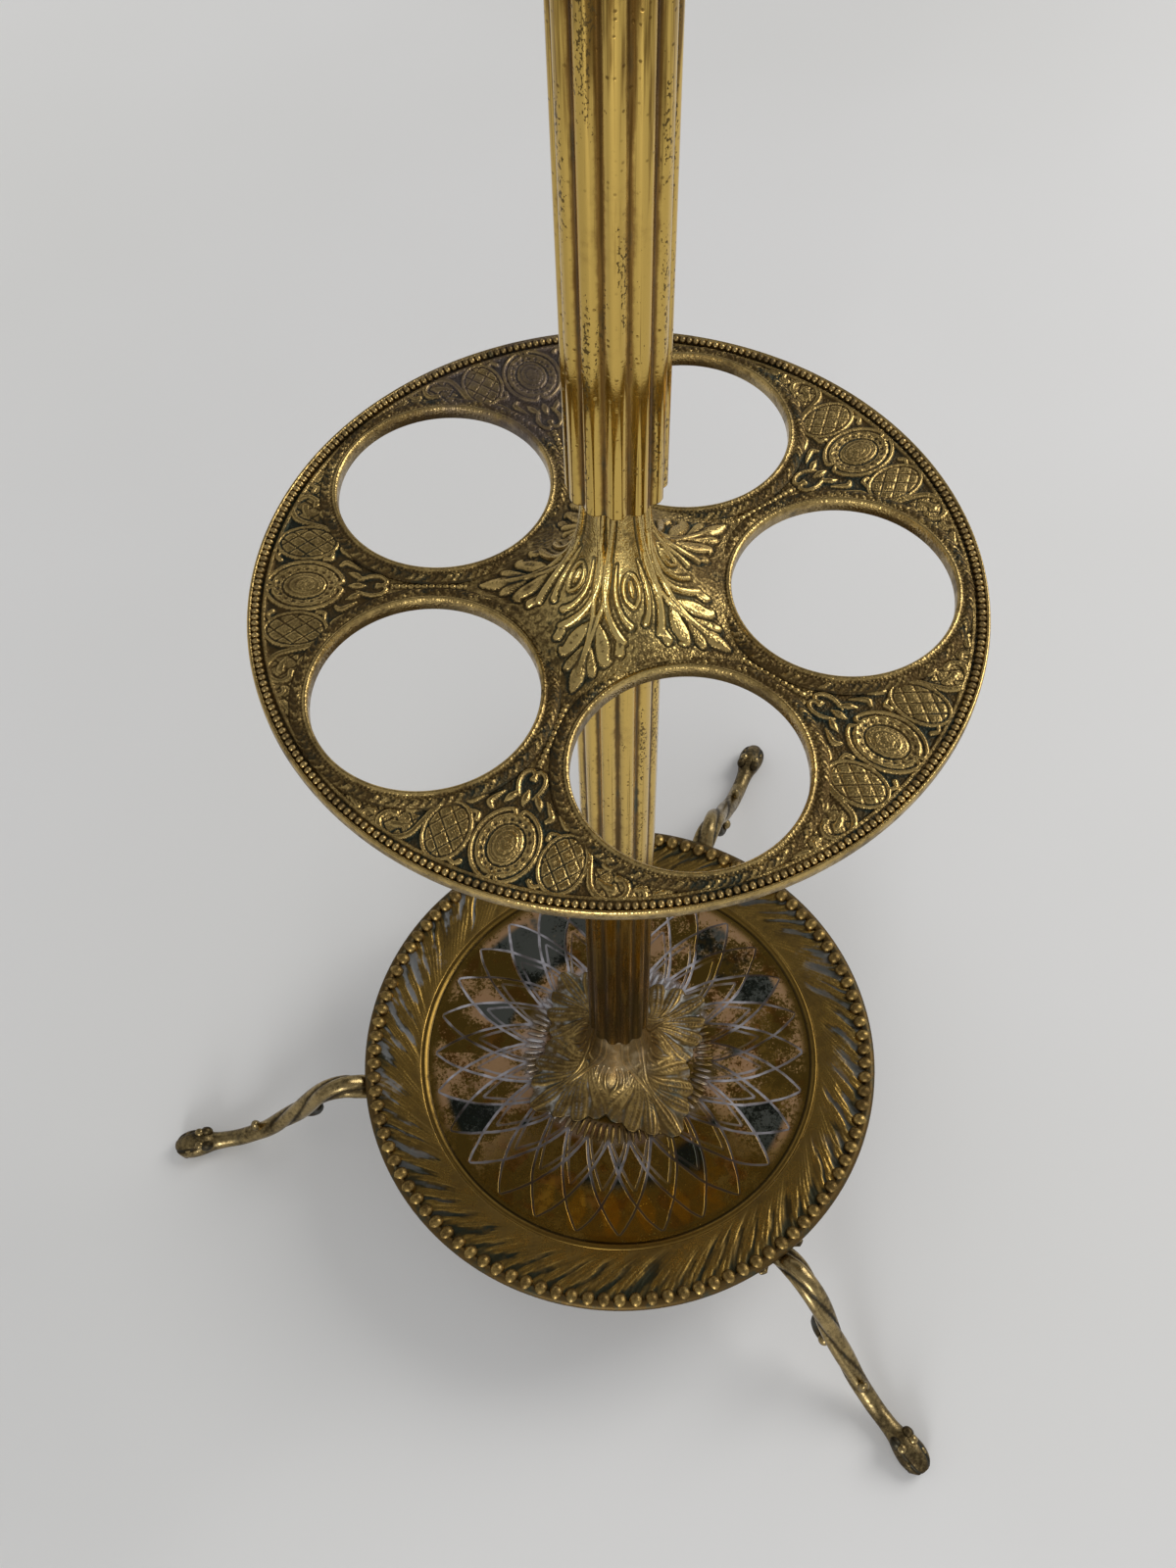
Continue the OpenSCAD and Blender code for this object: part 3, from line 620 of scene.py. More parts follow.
border_brass = brass("border_brass", (0.40, 0.25, 0.062), (0.062, 0.041, 0.014), green=(0.026, 0.032, 0.024),
                     scale=40, brown_amount=0.16, green_amount=0.12, gloss=0.24, dull=0.52, grain=0.10,
                     tint=limed_border)
make_piece("tray_border", border, closed_ring(ROWS + 2, COLUMNS), border_brass, "drip_tray",
           border_hollow)


def shape_tree(name, floats, **others):
    """An empty geometry tree with named inputs, the column's place and the finish among them."""
    inputs = {**others, "Float": floats + ["Column X", "Column Y"], "Material": ["Finish"]}
    return new_tree(name, "Geometry", inputs, {"Geometry": ["Geometry"]})


def end_tree(tree, geometry, material, result, smooth=True):
    """Realizes the copies, shades them smooth and gives them their finish."""
    real = put(tree, "GeometryNodeRealizeInstances", {0: geometry}).outputs[0]
    if smooth:
        real = put(tree, "GeometryNodeSetShadeSmooth", {"Geometry": real}).outputs[0]
    finished = put(tree, "GeometryNodeSetMaterial", {"Geometry": real, "Material": material}).outputs[0]
    tree.links.new(finished, result[0])


def grow(name, tree, values, finish, node):
    """Runs a geometry tree with its named inputs set and keeps the result as a plain mesh."""
    holder = new_object(name, bpy.data.meshes.new(name))
    modifier = holder.modifiers.new("shape", "NODES")
    modifier.node_group = tree
    names = {item.name: item.identifier for item in tree.interface.items_tree if item.in_out == "INPUT"}
    for title, value in {**values, "Column X": AXIS[0], "Column Y": AXIS[1], "Finish": finish}.items():
        modifier[names[title]] = value
    bpy.context.view_layer.update()
    made = bpy.data.meshes.new_from_object(holder.evaluated_get(bpy.context.evaluated_depsgraph_get()))
    holder.modifiers.clear()
    while len(made.materials) > 1 and made.materials[0] is None:
        made.materials.pop(index=0)
    holder.data = made
    ride_on(holder, node)


# A ring of like shapes round the column, each turned to face outwards
tree, given, result = shape_tree("ring_of_beads", ["Reach", "Height", "Bead", "Long", "Tall"], Int=["Count"])
RING_OF_BEADS = tree
circle = put(tree, "GeometryNodeMeshCircle", {
    "Vertices": given["Count"], "Radius": given["Reach"]}).outputs[0]
bead = put(tree, "GeometryNodeMeshUVSphere", {"Segments": 10, "Rings": 6, "Radius": given["Bead"]}).outputs[0]
where = split(tree, tree.nodes.new("GeometryNodeInputPosition").outputs[0])
facing = xyz(tree, 0, 0, maths(tree, "ARCTAN2", where["Y"], where["X"]))
copies = put(tree, "GeometryNodeInstanceOnPoints", {
    "Points": circle, "Instance": bead, "Rotation": facing,
    "Scale": xyz(tree, given["Long"], 1.0, given["Tall"])}).outputs[0]
middle = xyz(tree, given["Column X"], given["Column Y"], given["Height"])
copies = put(tree, "GeometryNodeTransform", {"Geometry": copies, "Translation": middle}).outputs[0]
end_tree(tree, copies, given["Finish"], result)

pearl_brass = brass("pearl_brass", (0.46, 0.31, 0.10), (0.12, 0.075, 0.026), green=(0.06, 0.065, 0.045),
                    scale=110, brown_amount=0.62, green_amount=0.20, gloss=0.22, dull=0.50, grain=0.08)
grow("tray_pearls", RING_OF_BEADS, {
    "Count": 104, "Reach": 0.1377, "Height": 0.0694, "Bead": 0.0039, "Long": 1.10, "Tall": 0.82},
    pearl_brass, "drip_tray")
# The rolled edge that carries the pearls
ROLL_SIDES, ROLL_STEPS = 14, 288
ROLL_POINTS = ROLL_SIDES * ROLL_STEPS
roll_at = round_angles(ROLL_SIDES)[:, None]
rolled = turned(140.1 + 2.7 * np.cos(roll_at), 68.9 + 2.3 * np.sin(roll_at), round_angles(ROLL_STEPS))
rolled_faces = [[k % ROLL_POINTS for k in face] for face in grid_faces(ROLL_SIDES + 1, ROLL_STEPS, True)]
make_piece("tray_rolled_edge", rolled, rolled_faces, pearl_brass, "drip_tray",
           np.full(ROLL_POINTS, 0.45))


def limed_comb(tree, colour, dullness):
    """Lime that half buries the ribs round the boss, less in front."""
    place = polar(tree)[2]
    lime = soft_step(tree, noise(tree, place, 26.0, 3.0), 0.36, 0.56)
    lime = times(tree, lime, scaled(tree, toward(tree, place, FRONT, 0.55, 0.9), -0.88, 0.9))
    colour = blend_colour(tree, lime, colour, (0.34, 0.34, 0.37))
    return colour, most(tree, dullness, lime), times(tree, lime, 0.8)


comb_brass = brass("comb_brass", (0.28, 0.18, 0.05), (0.07, 0.042, 0.014), scale=60, brown_amount=0.55,
                   gloss=0.25, dull=0.5, grain=0.1, tint=limed_comb)
grow("tray_comb_ribs", RING_OF_BEADS, {
    "Count": 84, "Reach": 0.0480, "Height": 0.0655, "Bead": 0.0012, "Long": 4.6, "Tall": 1.15},
    comb_brass, "drip_tray")


# ---- The boss and its gasket ----
# Cast brass, chased by hand: four acanthus leaves spread from the column over the tray's floor. It stands
# on a fibre washer, and the rod runs through it.

def relief(across, along, strokes, steps=14, beside=None):
    """Height of rounded strokes over a surface. A stroke is rows of place, place, half width and height, and
    a number: over 0 it is the depth of a groove along its middle, under 0 the depth of fine ribs along it.
    beside, if given, is filled with how close the ground lies to a stroke."""
    height = np.zeros_like(across)
    for knots, groove in strokes:
        path = smooth_path(knots, steps)
        best = np.zeros_like(across)
        for a, b in zip(path[:-1], path[1:]):
            step = b[:2] - a[:2]
            t = capped(((across - a[0]) * step[0] + (along - a[1]) * step[1]) / max(step @ step, 1e-9))
            away = np.hypot(across - a[0] - t * step[0], along - a[1] - t * step[1])
            wide, tall = a[2] + t * (b[2] - a[2]), a[3] + t * (b[3] - a[3])
            q = away / np.maximum(wide, 1e-3)
            if beside is not None:
                np.maximum(beside, capped(1 - (away - wide) / 0.75), out=beside)
            cut = hump(q, 0.33) if groove >= 0 else (np.cos(11 * q) - 1) / 2 * (q < 1)
            best = np.maximum(best, tall * (np.sqrt(capped(1 - q * q)) - groove * cut))
        height = np.maximum(height, best)
    return height


def blurred(field, passes, wrap=True):
    """The field softened by its neighbours, round and along."""
    for _ in range(passes):
        if wrap:
            left, right = np.roll(field, 1, 1), np.roll(field, -1, 1)
        else:
            left, right = np.hstack((field[:, :1], field[:, :-1])), np.hstack((field[:, 1:], field[:, -1:]))
        field = (field + left + right) / 3
        field = (field + np.vstack((field[:1], field[:-1])) + np.vstack((field[1:], field[-1:]))) / 3
    return field


def folded(angle, copies):
    """The angle from the nearest of so many directions round the column."""
    each = 2 * math.pi / copies
    return np.abs((angle / each + 0.5) % 1.0 - 0.5) * each


def trumpet_piece(name, profile, edge, carve, turn, inner, bottom, finish, node, passes, depth):
    """A flared casting whose surface is carved. profile is radius and height from the neck down, inner the
    same for the bore; edge gives how far along the profile the casting runs at an angle; carve gives the
    relief and how dark its ground lies, as patina and, on the ring's trumpet, painted shade and shadow;
    passes and depth say how wide and how dark the dirt lies in it."""
    rows, columns = 150, 600
    profile = smooth_path(profile, 160)
    length = distance_along(profile)
    angle = round_angles(columns)
    along = np.linspace(0, 1, rows)[:, None] * edge(angle)[None, :]
    radius = np.interp(along, length, profile[:, 0])
    height = np.interp(along, length, profile[:, 1])
    slope_r = np.interp(along, length, np.gradient(profile[:, 0], length))
    slope_z = np.interp(along, length, np.gradient(profile[:, 1], length))
    rise, base_patina_and_shade = carve(angle[None, :] + 0 * along, along, radius)
    radius, height = radius - slope_z * rise, height + slope_r * rise
    hollow = capped((blurred(rise, passes) - rise) * depth + 0.12 + base_patina_and_shade)
    inner_r, inner_z = (np.repeat(np.array(side, float)[:, None], columns, 1) for side in zip(*inner))
    radius = np.vstack((inner_r, radius, radius[-1:] - 0.3))
    height = np.vstack((inner_z, height, np.full((1, columns), bottom)))
    faces = [f[::-1] for f in bar_faces(len(radius), columns)]
    dark = np.vstack([np.full((len(inner), columns), 0.5), hollow, np.full((1, columns), 1.0)])
    make_piece(name, turned(radius, height, angle + turn), faces, finish, node, dark)


def boss_carving(angle, along, radius):
    """Four acanthus leaves, each fed by two veins from the neck and spread in ribbed lobes."""
    part = folded(angle, 4)
    across, between = part * radius, (math.pi / 4 - part) * radius
    lobes = [
        ([[1.0, 32, 1.6, 0.6], [7.5, 41, 3.6, 1.1], [17.0, 47.5, 5.0, 1.3], [25.5, 53.5, 5.2, 1.35],
          [31.0, 59, 3.6, 1.2]], -0.28),
        ([[1.0, 37, 1.6, 0.7], [6.0, 48, 3.7, 1.25], [13.5, 57, 5.0, 1.5], [20.5, 64.5, 4.2, 1.3]], -0.28),
        ([[0.8, 43, 1.5, 0.8], [4.0, 54, 3.2, 1.35], [8.6, 63, 4.6, 1.55], [12.4, 70.0, 3.6, 1.3]], -0.28),
        ([[0.0, 40, 1.6, 0.9], [0.0, 54, 2.8, 1.5], [0.0, 66, 4.8, 1.65], [0.0, 76.5, 3.0, 1.2]], -0.28)]
    rise = relief(across, along, lobes, 16)
    veins = [
        ([[5.6, 4, 0.9, 0.5], [6.4, 14, 1.1, 0.8], [6.6, 22, 1.2, 0.9], [4.6, 32, 1.2, 1.1],
          [2.0, 42, 1.1, 1.4], [0.9, 52, 0.9, 1.3]], 0.0),
        ([[2.4, 6, 0.7, 0.3], [3.0, 16, 0.8, 0.5], [3.4, 24, 0.9, 0.6], [2.2, 36, 0.9, 0.8]], 0.0)]
    rise = np.maximum(rise, relief(across, along, veins, 16))
    # A smooth swelling between the leaves, with a small pierced eye and curved strokes below it
    hood = [
        ([[2.2, 30, 0.6, 0.5], [3.6, 36, 0.9, 0.9], [3.0, 42, 0.9, 0.9], [0.6, 46, 0.8, 0.8]], 0.0),
        ([[5.2, 30, 0.6, 0.5], [7.0, 38, 1.0, 1.0], [6.4, 46, 1.0, 1.0], [3.2, 51, 1.0, 0.9]], 0.0),
        ([[8.6, 32, 0.6, 0.5], [10.4, 41, 1.0, 1.0], [9.8, 49, 1.0, 1.0], [6.8, 54.5, 1.1, 0.9]], 0.0)]
    rise = np.maximum(rise, relief(between, along, hood, 12))
    swell = 0.9 * hump(between, 7.0) * hump(along - 24, 11)
    seed = np.random.default_rng(6)
    grit = 0.05 * blurred(seed.normal(size=rise.shape), 1)
    return rise + swell + grit, np.clip((along - 34) / 70, 0, 0.35)


def limed_and_highlit_boss(tree, colour, dullness):
    """White lime under the tube's end, and a pale lime haze over the front of the neck that is also a painted
    highlight there.
    """
    reach, angle, place = polar(tree)
    height = split(tree, place)["Z"]
    scum = soft_step(tree, noise(tree, place, 130.0, 3.0, 0.6), 0.42, 0.66)
    neck = times(tree, soft_step(tree, height, 0.1075, 0.1135), scum)
    # A pale lime haze on the front of the neck, painted bright enough to stand in for the highlight there
    haze_and_highlight = times(tree, toward(tree, place, -80, 0.2, 0.95), soft_step(tree, height, 0.072, 0.088))
    haze_and_highlight = times(tree, haze_and_highlight, scaled(tree, scum, 0.35, 0.30))
    sunk = hollow_here(tree)
    silt = times(tree, times(tree, scum, soft_step(tree, sunk, 0.3, 0.8)), maths(
        tree, "SUBTRACT", 0.8, times(tree, toward(tree, place, -70, 0.4, 0.9), 0.65)))
    white = most(tree, neck, silt)
    colour = blend_colour(tree, haze_and_highlight, colour, (0.52, 0.42, 0.27))
    colour = blend_colour(tree, white, colour, (0.34, 0.34, 0.32))
    chalk = most(tree, times(tree, haze_and_highlight, 0.6), times(tree, white, 0.8))
    return colour, most(tree, dullness, white), chalk


boss_brass = brass("boss_brass", (0.39, 0.265, 0.09), (0.12, 0.076, 0.026), green=(0.075, 0.08, 0.06),
                   scale=50, brown_amount=0.34, green_amount=0.06, gloss=0.28, dull=0.5, grain=0.12,
                   tint=limed_and_highlit_boss)
boss_sheet = [[12.6, 114.2], [12.9, 108], [13.7, 101], [15.0, 93.5], [17.2, 86], [20.4, 79.5], [24.5, 74.6],
              [29.5, 71.2], [35, 69.0], [40, 67.8], [46, 67.0], [52, 66.5], [60, 66.2]]


def boss_edge(angle):
    """The leaves' lobed outline: how far down the flare the casting runs."""
    return np.interp(np.degrees(folded(angle, 4)), [0, 4, 8, 12, 16, 20, 24, 28, 32, 36, 40, 45],
                     [78.5, 77.0, 71.5, 72.5, 70.0, 66.0, 67.5, 66.0, 61.0, 61.5, 60.5, 57.0])


trumpet_piece("boss_leaves", boss_sheet, boss_edge, boss_carving, math.radians(-56),
              [(4.3, 120), (12.2, 120)], 65.6, boss_brass, "tray_boss", passes=5, depth=1.5)

gasket_fibre, tree, shader = new_material("gasket_fibre")
fibres = noise(tree, mapped(tree, own_place(tree), Scale=(1, 4, 8)), 900, 4.0, 0.7)
colour = blend_colour(tree, fibres, (0.03, 0.02, 0.015), (0.11, 0.075, 0.05))
bump = put(tree, "ShaderNodeBump", {"Height": fibres, "Strength": 0.5, "Distance": 0.0003})
tree.links.new(colour, shader.inputs["Base Color"])
tree.links.new(scaled(tree, fibres, 0.2, 0.7), shader.inputs["Roughness"])
tree.links.new(bump.outputs[0], shader.inputs["Normal"])
dress("tray_gasket", gasket_fibre)


# ---- The column tubes and their plugs ----
# Drawn brass tube with twelve reeds, polished and once lacquered. Brown streaks run down it, and the lower
# tube is green and brown where it stands in the tray. Turned plugs inside each end centre it on the rod.

tree, given, result = shape_tree(
    "reeded_tube", ["Outer", "Depth", "Bore", "Bottom", "Length", "Turn"], Int=["Reeds"])
REEDED_TUBE = tree
grid = put(tree, "GeometryNodeMeshGrid", {
    "Size X": 1.0, "Size Y": 1.0, "Vertices X": 289, "Vertices Y": 61}).outputs[0]
where = split(tree, tree.nodes.new("GeometryNodeInputPosition").outputs[0])
angle = times(tree, maths(tree, "ADD", where["X"], 0.5), 2 * math.pi)
v = maths(tree, "ADD", where["Y"], 0.5)
# Up the outside, over the end and down the bore, back to the first ring
up_down = rest(tree, maths(tree, "ABSOLUTE", scaled(tree, v, 2.0, -1.0)))
# The second and the last row lie close to the ends, so the ends stay crisp
high = times(tree, most(tree, maths(tree, "SUBTRACT", up_down, 0.0333), 0.0), 1.0689)
high = scaled(tree, maths(tree, "GREATER_THAN", up_down, 0.01), 0.0014, high)
high = maths(tree, "MINIMUM", high, 1.0)
inside = times(tree, maths(tree, "GREATER_THAN", v, 0.51), maths(tree, "LESS_THAN", v, 0.995))
wave = maths(tree, "COSINE", times(tree, angle, given["Reeds"]))
valley = maths(tree, "POWER", scaled(tree, wave, -0.5, 0.5), 1.8)
outside = scaled(tree, times(tree, valley, given["Depth"]), -1.0, given["Outer"])
reach = maths(tree, "ADD", outside, times(tree, inside, maths(tree, "SUBTRACT", given["Bore"], outside)))
twist = maths(tree, "ADD", angle, given["Turn"])
place = xyz(tree, scaled(tree, maths(tree, "COSINE", twist), reach, given["Column X"]),
            scaled(tree, maths(tree, "SINE", twist), reach, given["Column Y"]),
            scaled(tree, high, given["Length"], given["Bottom"]))
sunk = most(tree, maths(tree, "POWER", valley, 3.0), inside)
marked = put(tree, "GeometryNodeStoreNamedAttribute", {"Geometry": grid, "Name": "hollow", "Value": sunk},
             data_type="FLOAT", domain="POINT").outputs[0]
shaped = put(tree, "GeometryNodeSetPosition", {"Geometry": marked, "Position": place}).outputs[0]
closed = put(tree, "GeometryNodeMergeByDistance", {"Geometry": shaped, "Distance": 0.000004}).outputs[0]
end_tree(tree, closed, given["Finish"], result)


def streaks(share, low, high, murky, run_colour):
    """Stains that run down the tube, thicker towards a height low than at high."""
    def add(tree, colour, dullness):
        place = own_place(tree)

        def drawn(upright, *pattern):
            """A pattern drawn out up and down: the smaller its upright scale, the longer its streaks."""
            return noise(tree, mapped(tree, place, Scale=(1, 1, upright)), *pattern)

        foot = soft_step(tree, split(tree, place)["Z"], high, low)
        amount = scaled(tree, hollow_here(tree), 0.22, scaled(tree, foot, 0.3, share))
        mask = soft_step(tree, maths(tree, "ADD", drawn(0.045, 420.0, 3.0, 0.6), amount), 0.62, 0.86)
        colour = blend_colour(tree, times(tree, mask, 0.85), colour, run_colour)
        thin = maths(tree, "ADD", drawn(0.012, 1500.0, 2.0), times(tree, amount, 0.5))
        thin = times(tree, soft_step(tree, thin, 0.62, 0.78), 0.5)
        colour = blend_colour(tree, thin, colour, tuple(c * 0.5 for c in run_colour))
        blotch = soft_step(tree, drawn(0.3, 90.0, 4.0), 0.38, 0.62)
        murk = times(tree, times(tree, foot, murky), blotch)
        # Dark specks crowd along a few reeds, where wet hands and umbrellas have eaten the lacquer
        crowd = soft_step(tree, drawn(0.08, 150.0, 2.0), 0.46, 0.66)
        specks = soft_step(tree, scaled(tree, crowd, 0.22, drawn(0.55, 1300.0, 2.0, 0.6)), 0.74, 0.80)
        colour = blend_colour(tree, times(tree, specks, 0.8), colour, (0.09, 0.05, 0.016))
        murk = most(tree, murk, times(tree, specks, 0.7))
        colour = blend_colour(tree, times(tree, murk, 0.75), colour, (0.085, 0.062, 0.022))
        return colour, most(tree, dullness, most(tree, times(tree, mask, 0.6), murk))
    return add


tube_brass = brass("reeded_brass", (0.61, 0.41, 0.104), (0.24, 0.135, 0.035), scale=34, brown_amount=0.0,
                   green_amount=-0.2, gloss=0.085, dull=0.36, pit_scale=520, pit_share=0.32, grain=0.03,
                   tint=streaks(0.01, 0.735, 0.600, 0.0, (0.115, 0.058, 0.012)))
low_tube_brass = brass("reeded_brass_low", (0.68, 0.46, 0.12), (0.20, 0.115, 0.03), scale=34,
                       brown_amount=0.06, green_amount=-0.1, gloss=0.10, dull=0.4, pit_scale=520,
                       pit_share=0.35, grain=0.04, tint=streaks(0.0, 0.150, 0.330, 1.0, (0.12, 0.07, 0.02)))
for node, bottom, length, turn, finish in (
        ("upper_tube", 0.527, 0.213, -90, tube_brass), ("lower_tube", 0.114, 0.3585, -75, low_tube_brass)):
    grow(node + "_reeds", REEDED_TUBE, {
        "Reeds": 12, "Outer": 0.016, "Depth": 0.0016, "Bore": 0.0132, "Bottom": bottom, "Length": length,
        "Turn": math.radians(turn)}, finish, node)

plug_brass = brass("plug_brass", (0.50, 0.36, 0.13), (0.16, 0.10, 0.04), scale=80, brown_amount=0.2,
                   gloss=0.3, dull=0.5, hollow=lambda tree: noise(tree, own_place(tree), 300))
for node in ("upper_tube_top_plug", "upper_tube_foot_plug", "lower_tube_top_plug", "lower_tube_foot_plug"):
    dress(node, plug_brass)


# ---- The umbrella ring ----
# One brass casting: a plate with five holes under rolled mouldings, a beaded lip, scrolls and shells in the
# corners, and a leafy trumpet that rises into the upper tube. Hands and umbrellas keep its ridges bright.

PLATE_TOP, PLATE_UNDER = 476.0, 472.5
HOLES, HOLE_R, HOLE_AT, FIRST_HOLE = 5, 37.8, 76.5, -72.8
SPOKE = FIRST_HOLE + 180 / HOLES


def ring_bloom_and_highlight(tree, colour, dullness):
    """A violet-grey bloom at the back left, and a painted golden highlight on the front of the trumpet, which
    is made glossier there too.
    """
    place = own_place(tree)

    def near(x, y, z, low, high):
        gap = vector(tree, "DISTANCE", place, (AXIS[0] + x, AXIS[1] + y, z))["Value"]
        return soft_step(tree, gap, high, low)

    patch = noise(tree, place, 60.0, 3.0)
    bloom = times(tree, near(-0.036, 0.098, 0.476, 0.018, 0.060), soft_step(tree, patch, 0.25, 0.6))
    colour = blend_colour(tree, times(tree, bloom, 0.75), colour, (0.125, 0.10, 0.095))
    # Painted highlight: a bright golden patch on the front of the trumpet's neck, only where the metal is
    # bare
    bare = put(tree, "ShaderNodeMapRange", {0: dullness, 1: 0.5, 2: 0.95, 3: 0.95, 4: 0.15}).outputs[0]
    painted_highlight = times(tree, near(0.003, -0.017, 0.499, 0.014, 0.043), bare)
    colour = blend_colour(tree, painted_highlight, colour, (0.70, 0.52, 0.19))
    dullness = most(tree, dullness, times(tree, bloom, 0.7))
    return colour, times(tree, dullness, rest(tree, painted_highlight))


def hammered(tree):
    """Fine punch marks over the ground, worn away on the ridges."""
    place = own_place(tree)
    marks = put(tree, "ShaderNodeTexVoronoi", {"Vector": place, "Scale": 1150.0}).outputs["Distance"]
    sunk = hollow_here(tree)
    return times(tree, marks, scaled(tree, soft_step(tree, sunk, 0.03, 0.25), 0.85, 0.35))


ring_brass = brass("ring_brass", (0.56, 0.395, 0.145), (0.10, 0.064, 0.024), green=(0.03, 0.038, 0.03),
                   scale=42, brown_amount=0.29, green_amount=0.12, gloss=0.16, dull=0.50, pit_share=0.3,
                   grain=0.12, tint=ring_bloom_and_highlight, extra_height=hammered)

# The plate: a disc with its holes, filled and given its thickness
tree, given, result = shape_tree(
    "pierced_plate", ["Outer", "Hole", "Hole At", "First Hole", "Under", "Thickness"], Int=["Holes"])
PLATE = tree
outer, hole = (put(tree, "GeometryNodeCurvePrimitiveCircle", {"Resolution": steps, "Radius": size}).outputs[0]
               for steps, size in ((240, given["Outer"]), (144, given["Hole"])))
spots = put(tree, "GeometryNodeMeshCircle", {
    "Vertices": given["Holes"], "Radius": given["Hole At"]}).outputs[0]
spots = put(tree, "GeometryNodeTransform", {
    "Geometry": spots, "Rotation": xyz(tree, 0, 0, given["First Hole"])}).outputs[0]
holes = put(tree, "GeometryNodeInstanceOnPoints", {"Points": spots, "Instance": hole}).outputs[0]


def together(tree, *shapes):
    both = tree.nodes.new("GeometryNodeJoinGeometry")
    for shape in shapes:
        tree.links.new(shape, both.inputs[0])
    return both.outputs[0]


both = together(tree, outer, put(tree, "GeometryNodeRealizeInstances", {0: holes}).outputs[0])
flat = put(tree, "GeometryNodeFillCurve", {0: both}).outputs[0]
middle = xyz(tree, given["Column X"], given["Column Y"], given["Under"])
flat = put(tree, "GeometryNodeTransform", {"Geometry": flat, "Translation": middle}).outputs[0]
raised = put(tree, "GeometryNodeExtrudeMesh", {
    "Mesh": flat, "Offset Scale": given["Thickness"], "Individual": False}).outputs["Mesh"]
both = together(tree, raised, put(tree, "GeometryNodeFlipFaces", {0: flat}).outputs[0])
closed = put(tree, "GeometryNodeMergeByDistance", {"Geometry": both, "Distance": 0.00001}).outputs[0]
end_tree(tree, closed, given["Finish"], result, smooth=False)
grow("ring_plate", PLATE, {
    "Outer": 0.1196, "Hole": 0.0384, "Hole At": HOLE_AT / 1000, "Holes": HOLES,
    "First Hole": math.radians(FIRST_HOLE), "Under": PLATE_UNDER / 1000, "Thickness": 0.0028},
    ring_brass, "umbrella_ring")

# Copies of one carved part, turned round the column
tree, given, result = shape_tree("turned_copies", ["First"], Object=["Part"], Int=["Copies"])
TURNED_COPIES = tree
part = put(tree, "GeometryNodeObjectInfo", {0: given["Part"]}).outputs["Geometry"]
line = put(tree, "GeometryNodeMeshLine", {"Count": given["Copies"], "Offset": (0, 0, 0)}).outputs[0]
line = put(tree, "GeometryNodeSetPosition", {
    "Geometry": line, "Position": xyz(tree, given["Column X"], given["Column Y"])}).outputs[0]
step = maths(tree, "DIVIDE", 2 * math.pi, given["Copies"])
turn = scaled(tree, tree.nodes.new("GeometryNodeInputIndex").outputs[0], step, given["First"])
copies = put(tree, "GeometryNodeInstanceOnPoints", {
    "Points": line, "Instance": part, "Rotation": xyz(tree, 0, 0, turn)}).outputs[0]
end_tree(tree, copies, given["Finish"], result)


def five_copies(name, points, faces, hollow, first):
    """Five turned copies of a part given in millimetres round the column, as one piece."""
    mesh = bpy.data.meshes.new(name + "_part")
    mesh.from_pydata((np.asarray(points) / 1000).tolist(), [], [list(f) for f in faces])
    keep_hollow(mesh, hollow)
    part = new_object(name + "_part", mesh)
    grow(name, TURNED_COPIES, {"Part": part, "Copies": HOLES, "First": math.radians(first)},
         ring_brass, "umbrella_ring")
    bpy.data.objects.remove(part)


# Moulding of a hole: a plain rolled edge, a row of fine dots and a band of overlapping leaves
section = np.array([
    [0, -3.5], [0, 0.6], [0.12, 1.2], [0.5, 1.75], [1.05, 1.95], [1.6, 1.7], [1.95, 1.15], [2.2, 0.95],
    [2.5, 1.05], [2.9, 1.4], [3.4, 1.62], [4.0, 1.66], [4.6, 1.5], [5.2, 1.15], [5.7, 0.7], [6.1, 0.3],
    [6.5, 0.1], [6.6, -0.6]])
MOULDING_SIDES, LEAVES, DOTS = 720, 88, 180
out, w = np.meshgrid(section[:, 0], round_angles(MOULDING_SIDES), indexing="ij")
leafy = capped((out - 2.5) / 0.7) * capped((6.2 - out) / 0.8)
along = w * LEAVES / (2 * math.pi) + 0.5 * np.abs(out - 4.2) + 0.25 * np.sin(5 * w) + 0.12 * np.sin(37 * w)
saw = along % 1.0
leaves = leafy * ((0.8 + 0.2 * np.sin(23 * w + out)) * (1 - saw) ** 0.8 * capped(saw * 9) - 0.55)
dots = hump(out - 2.2, 0.3) * 0.34 * (0.5 + 0.5 * np.cos(DOTS * w))
lift = leaves + dots
rim = turned(HOLE_R + out, PLATE_TOP + section[:, 1:] + lift, w) + [HOLE_AT, 0, 0]
rim_hollow = capped(0.22 - 1.2 * lift + leafy * 0.15 + hump(out - 2.2, 0.35) * 0.5 + (out > 6.0) * 0.5
                    - hump(out - 1.0, 0.6) * 0.3)
five_copies("ring_hole_mouldings", rim.reshape(-1, 3), closed_ring(len(section), MOULDING_SIDES), rim_hollow,
            FIRST_HOLE)


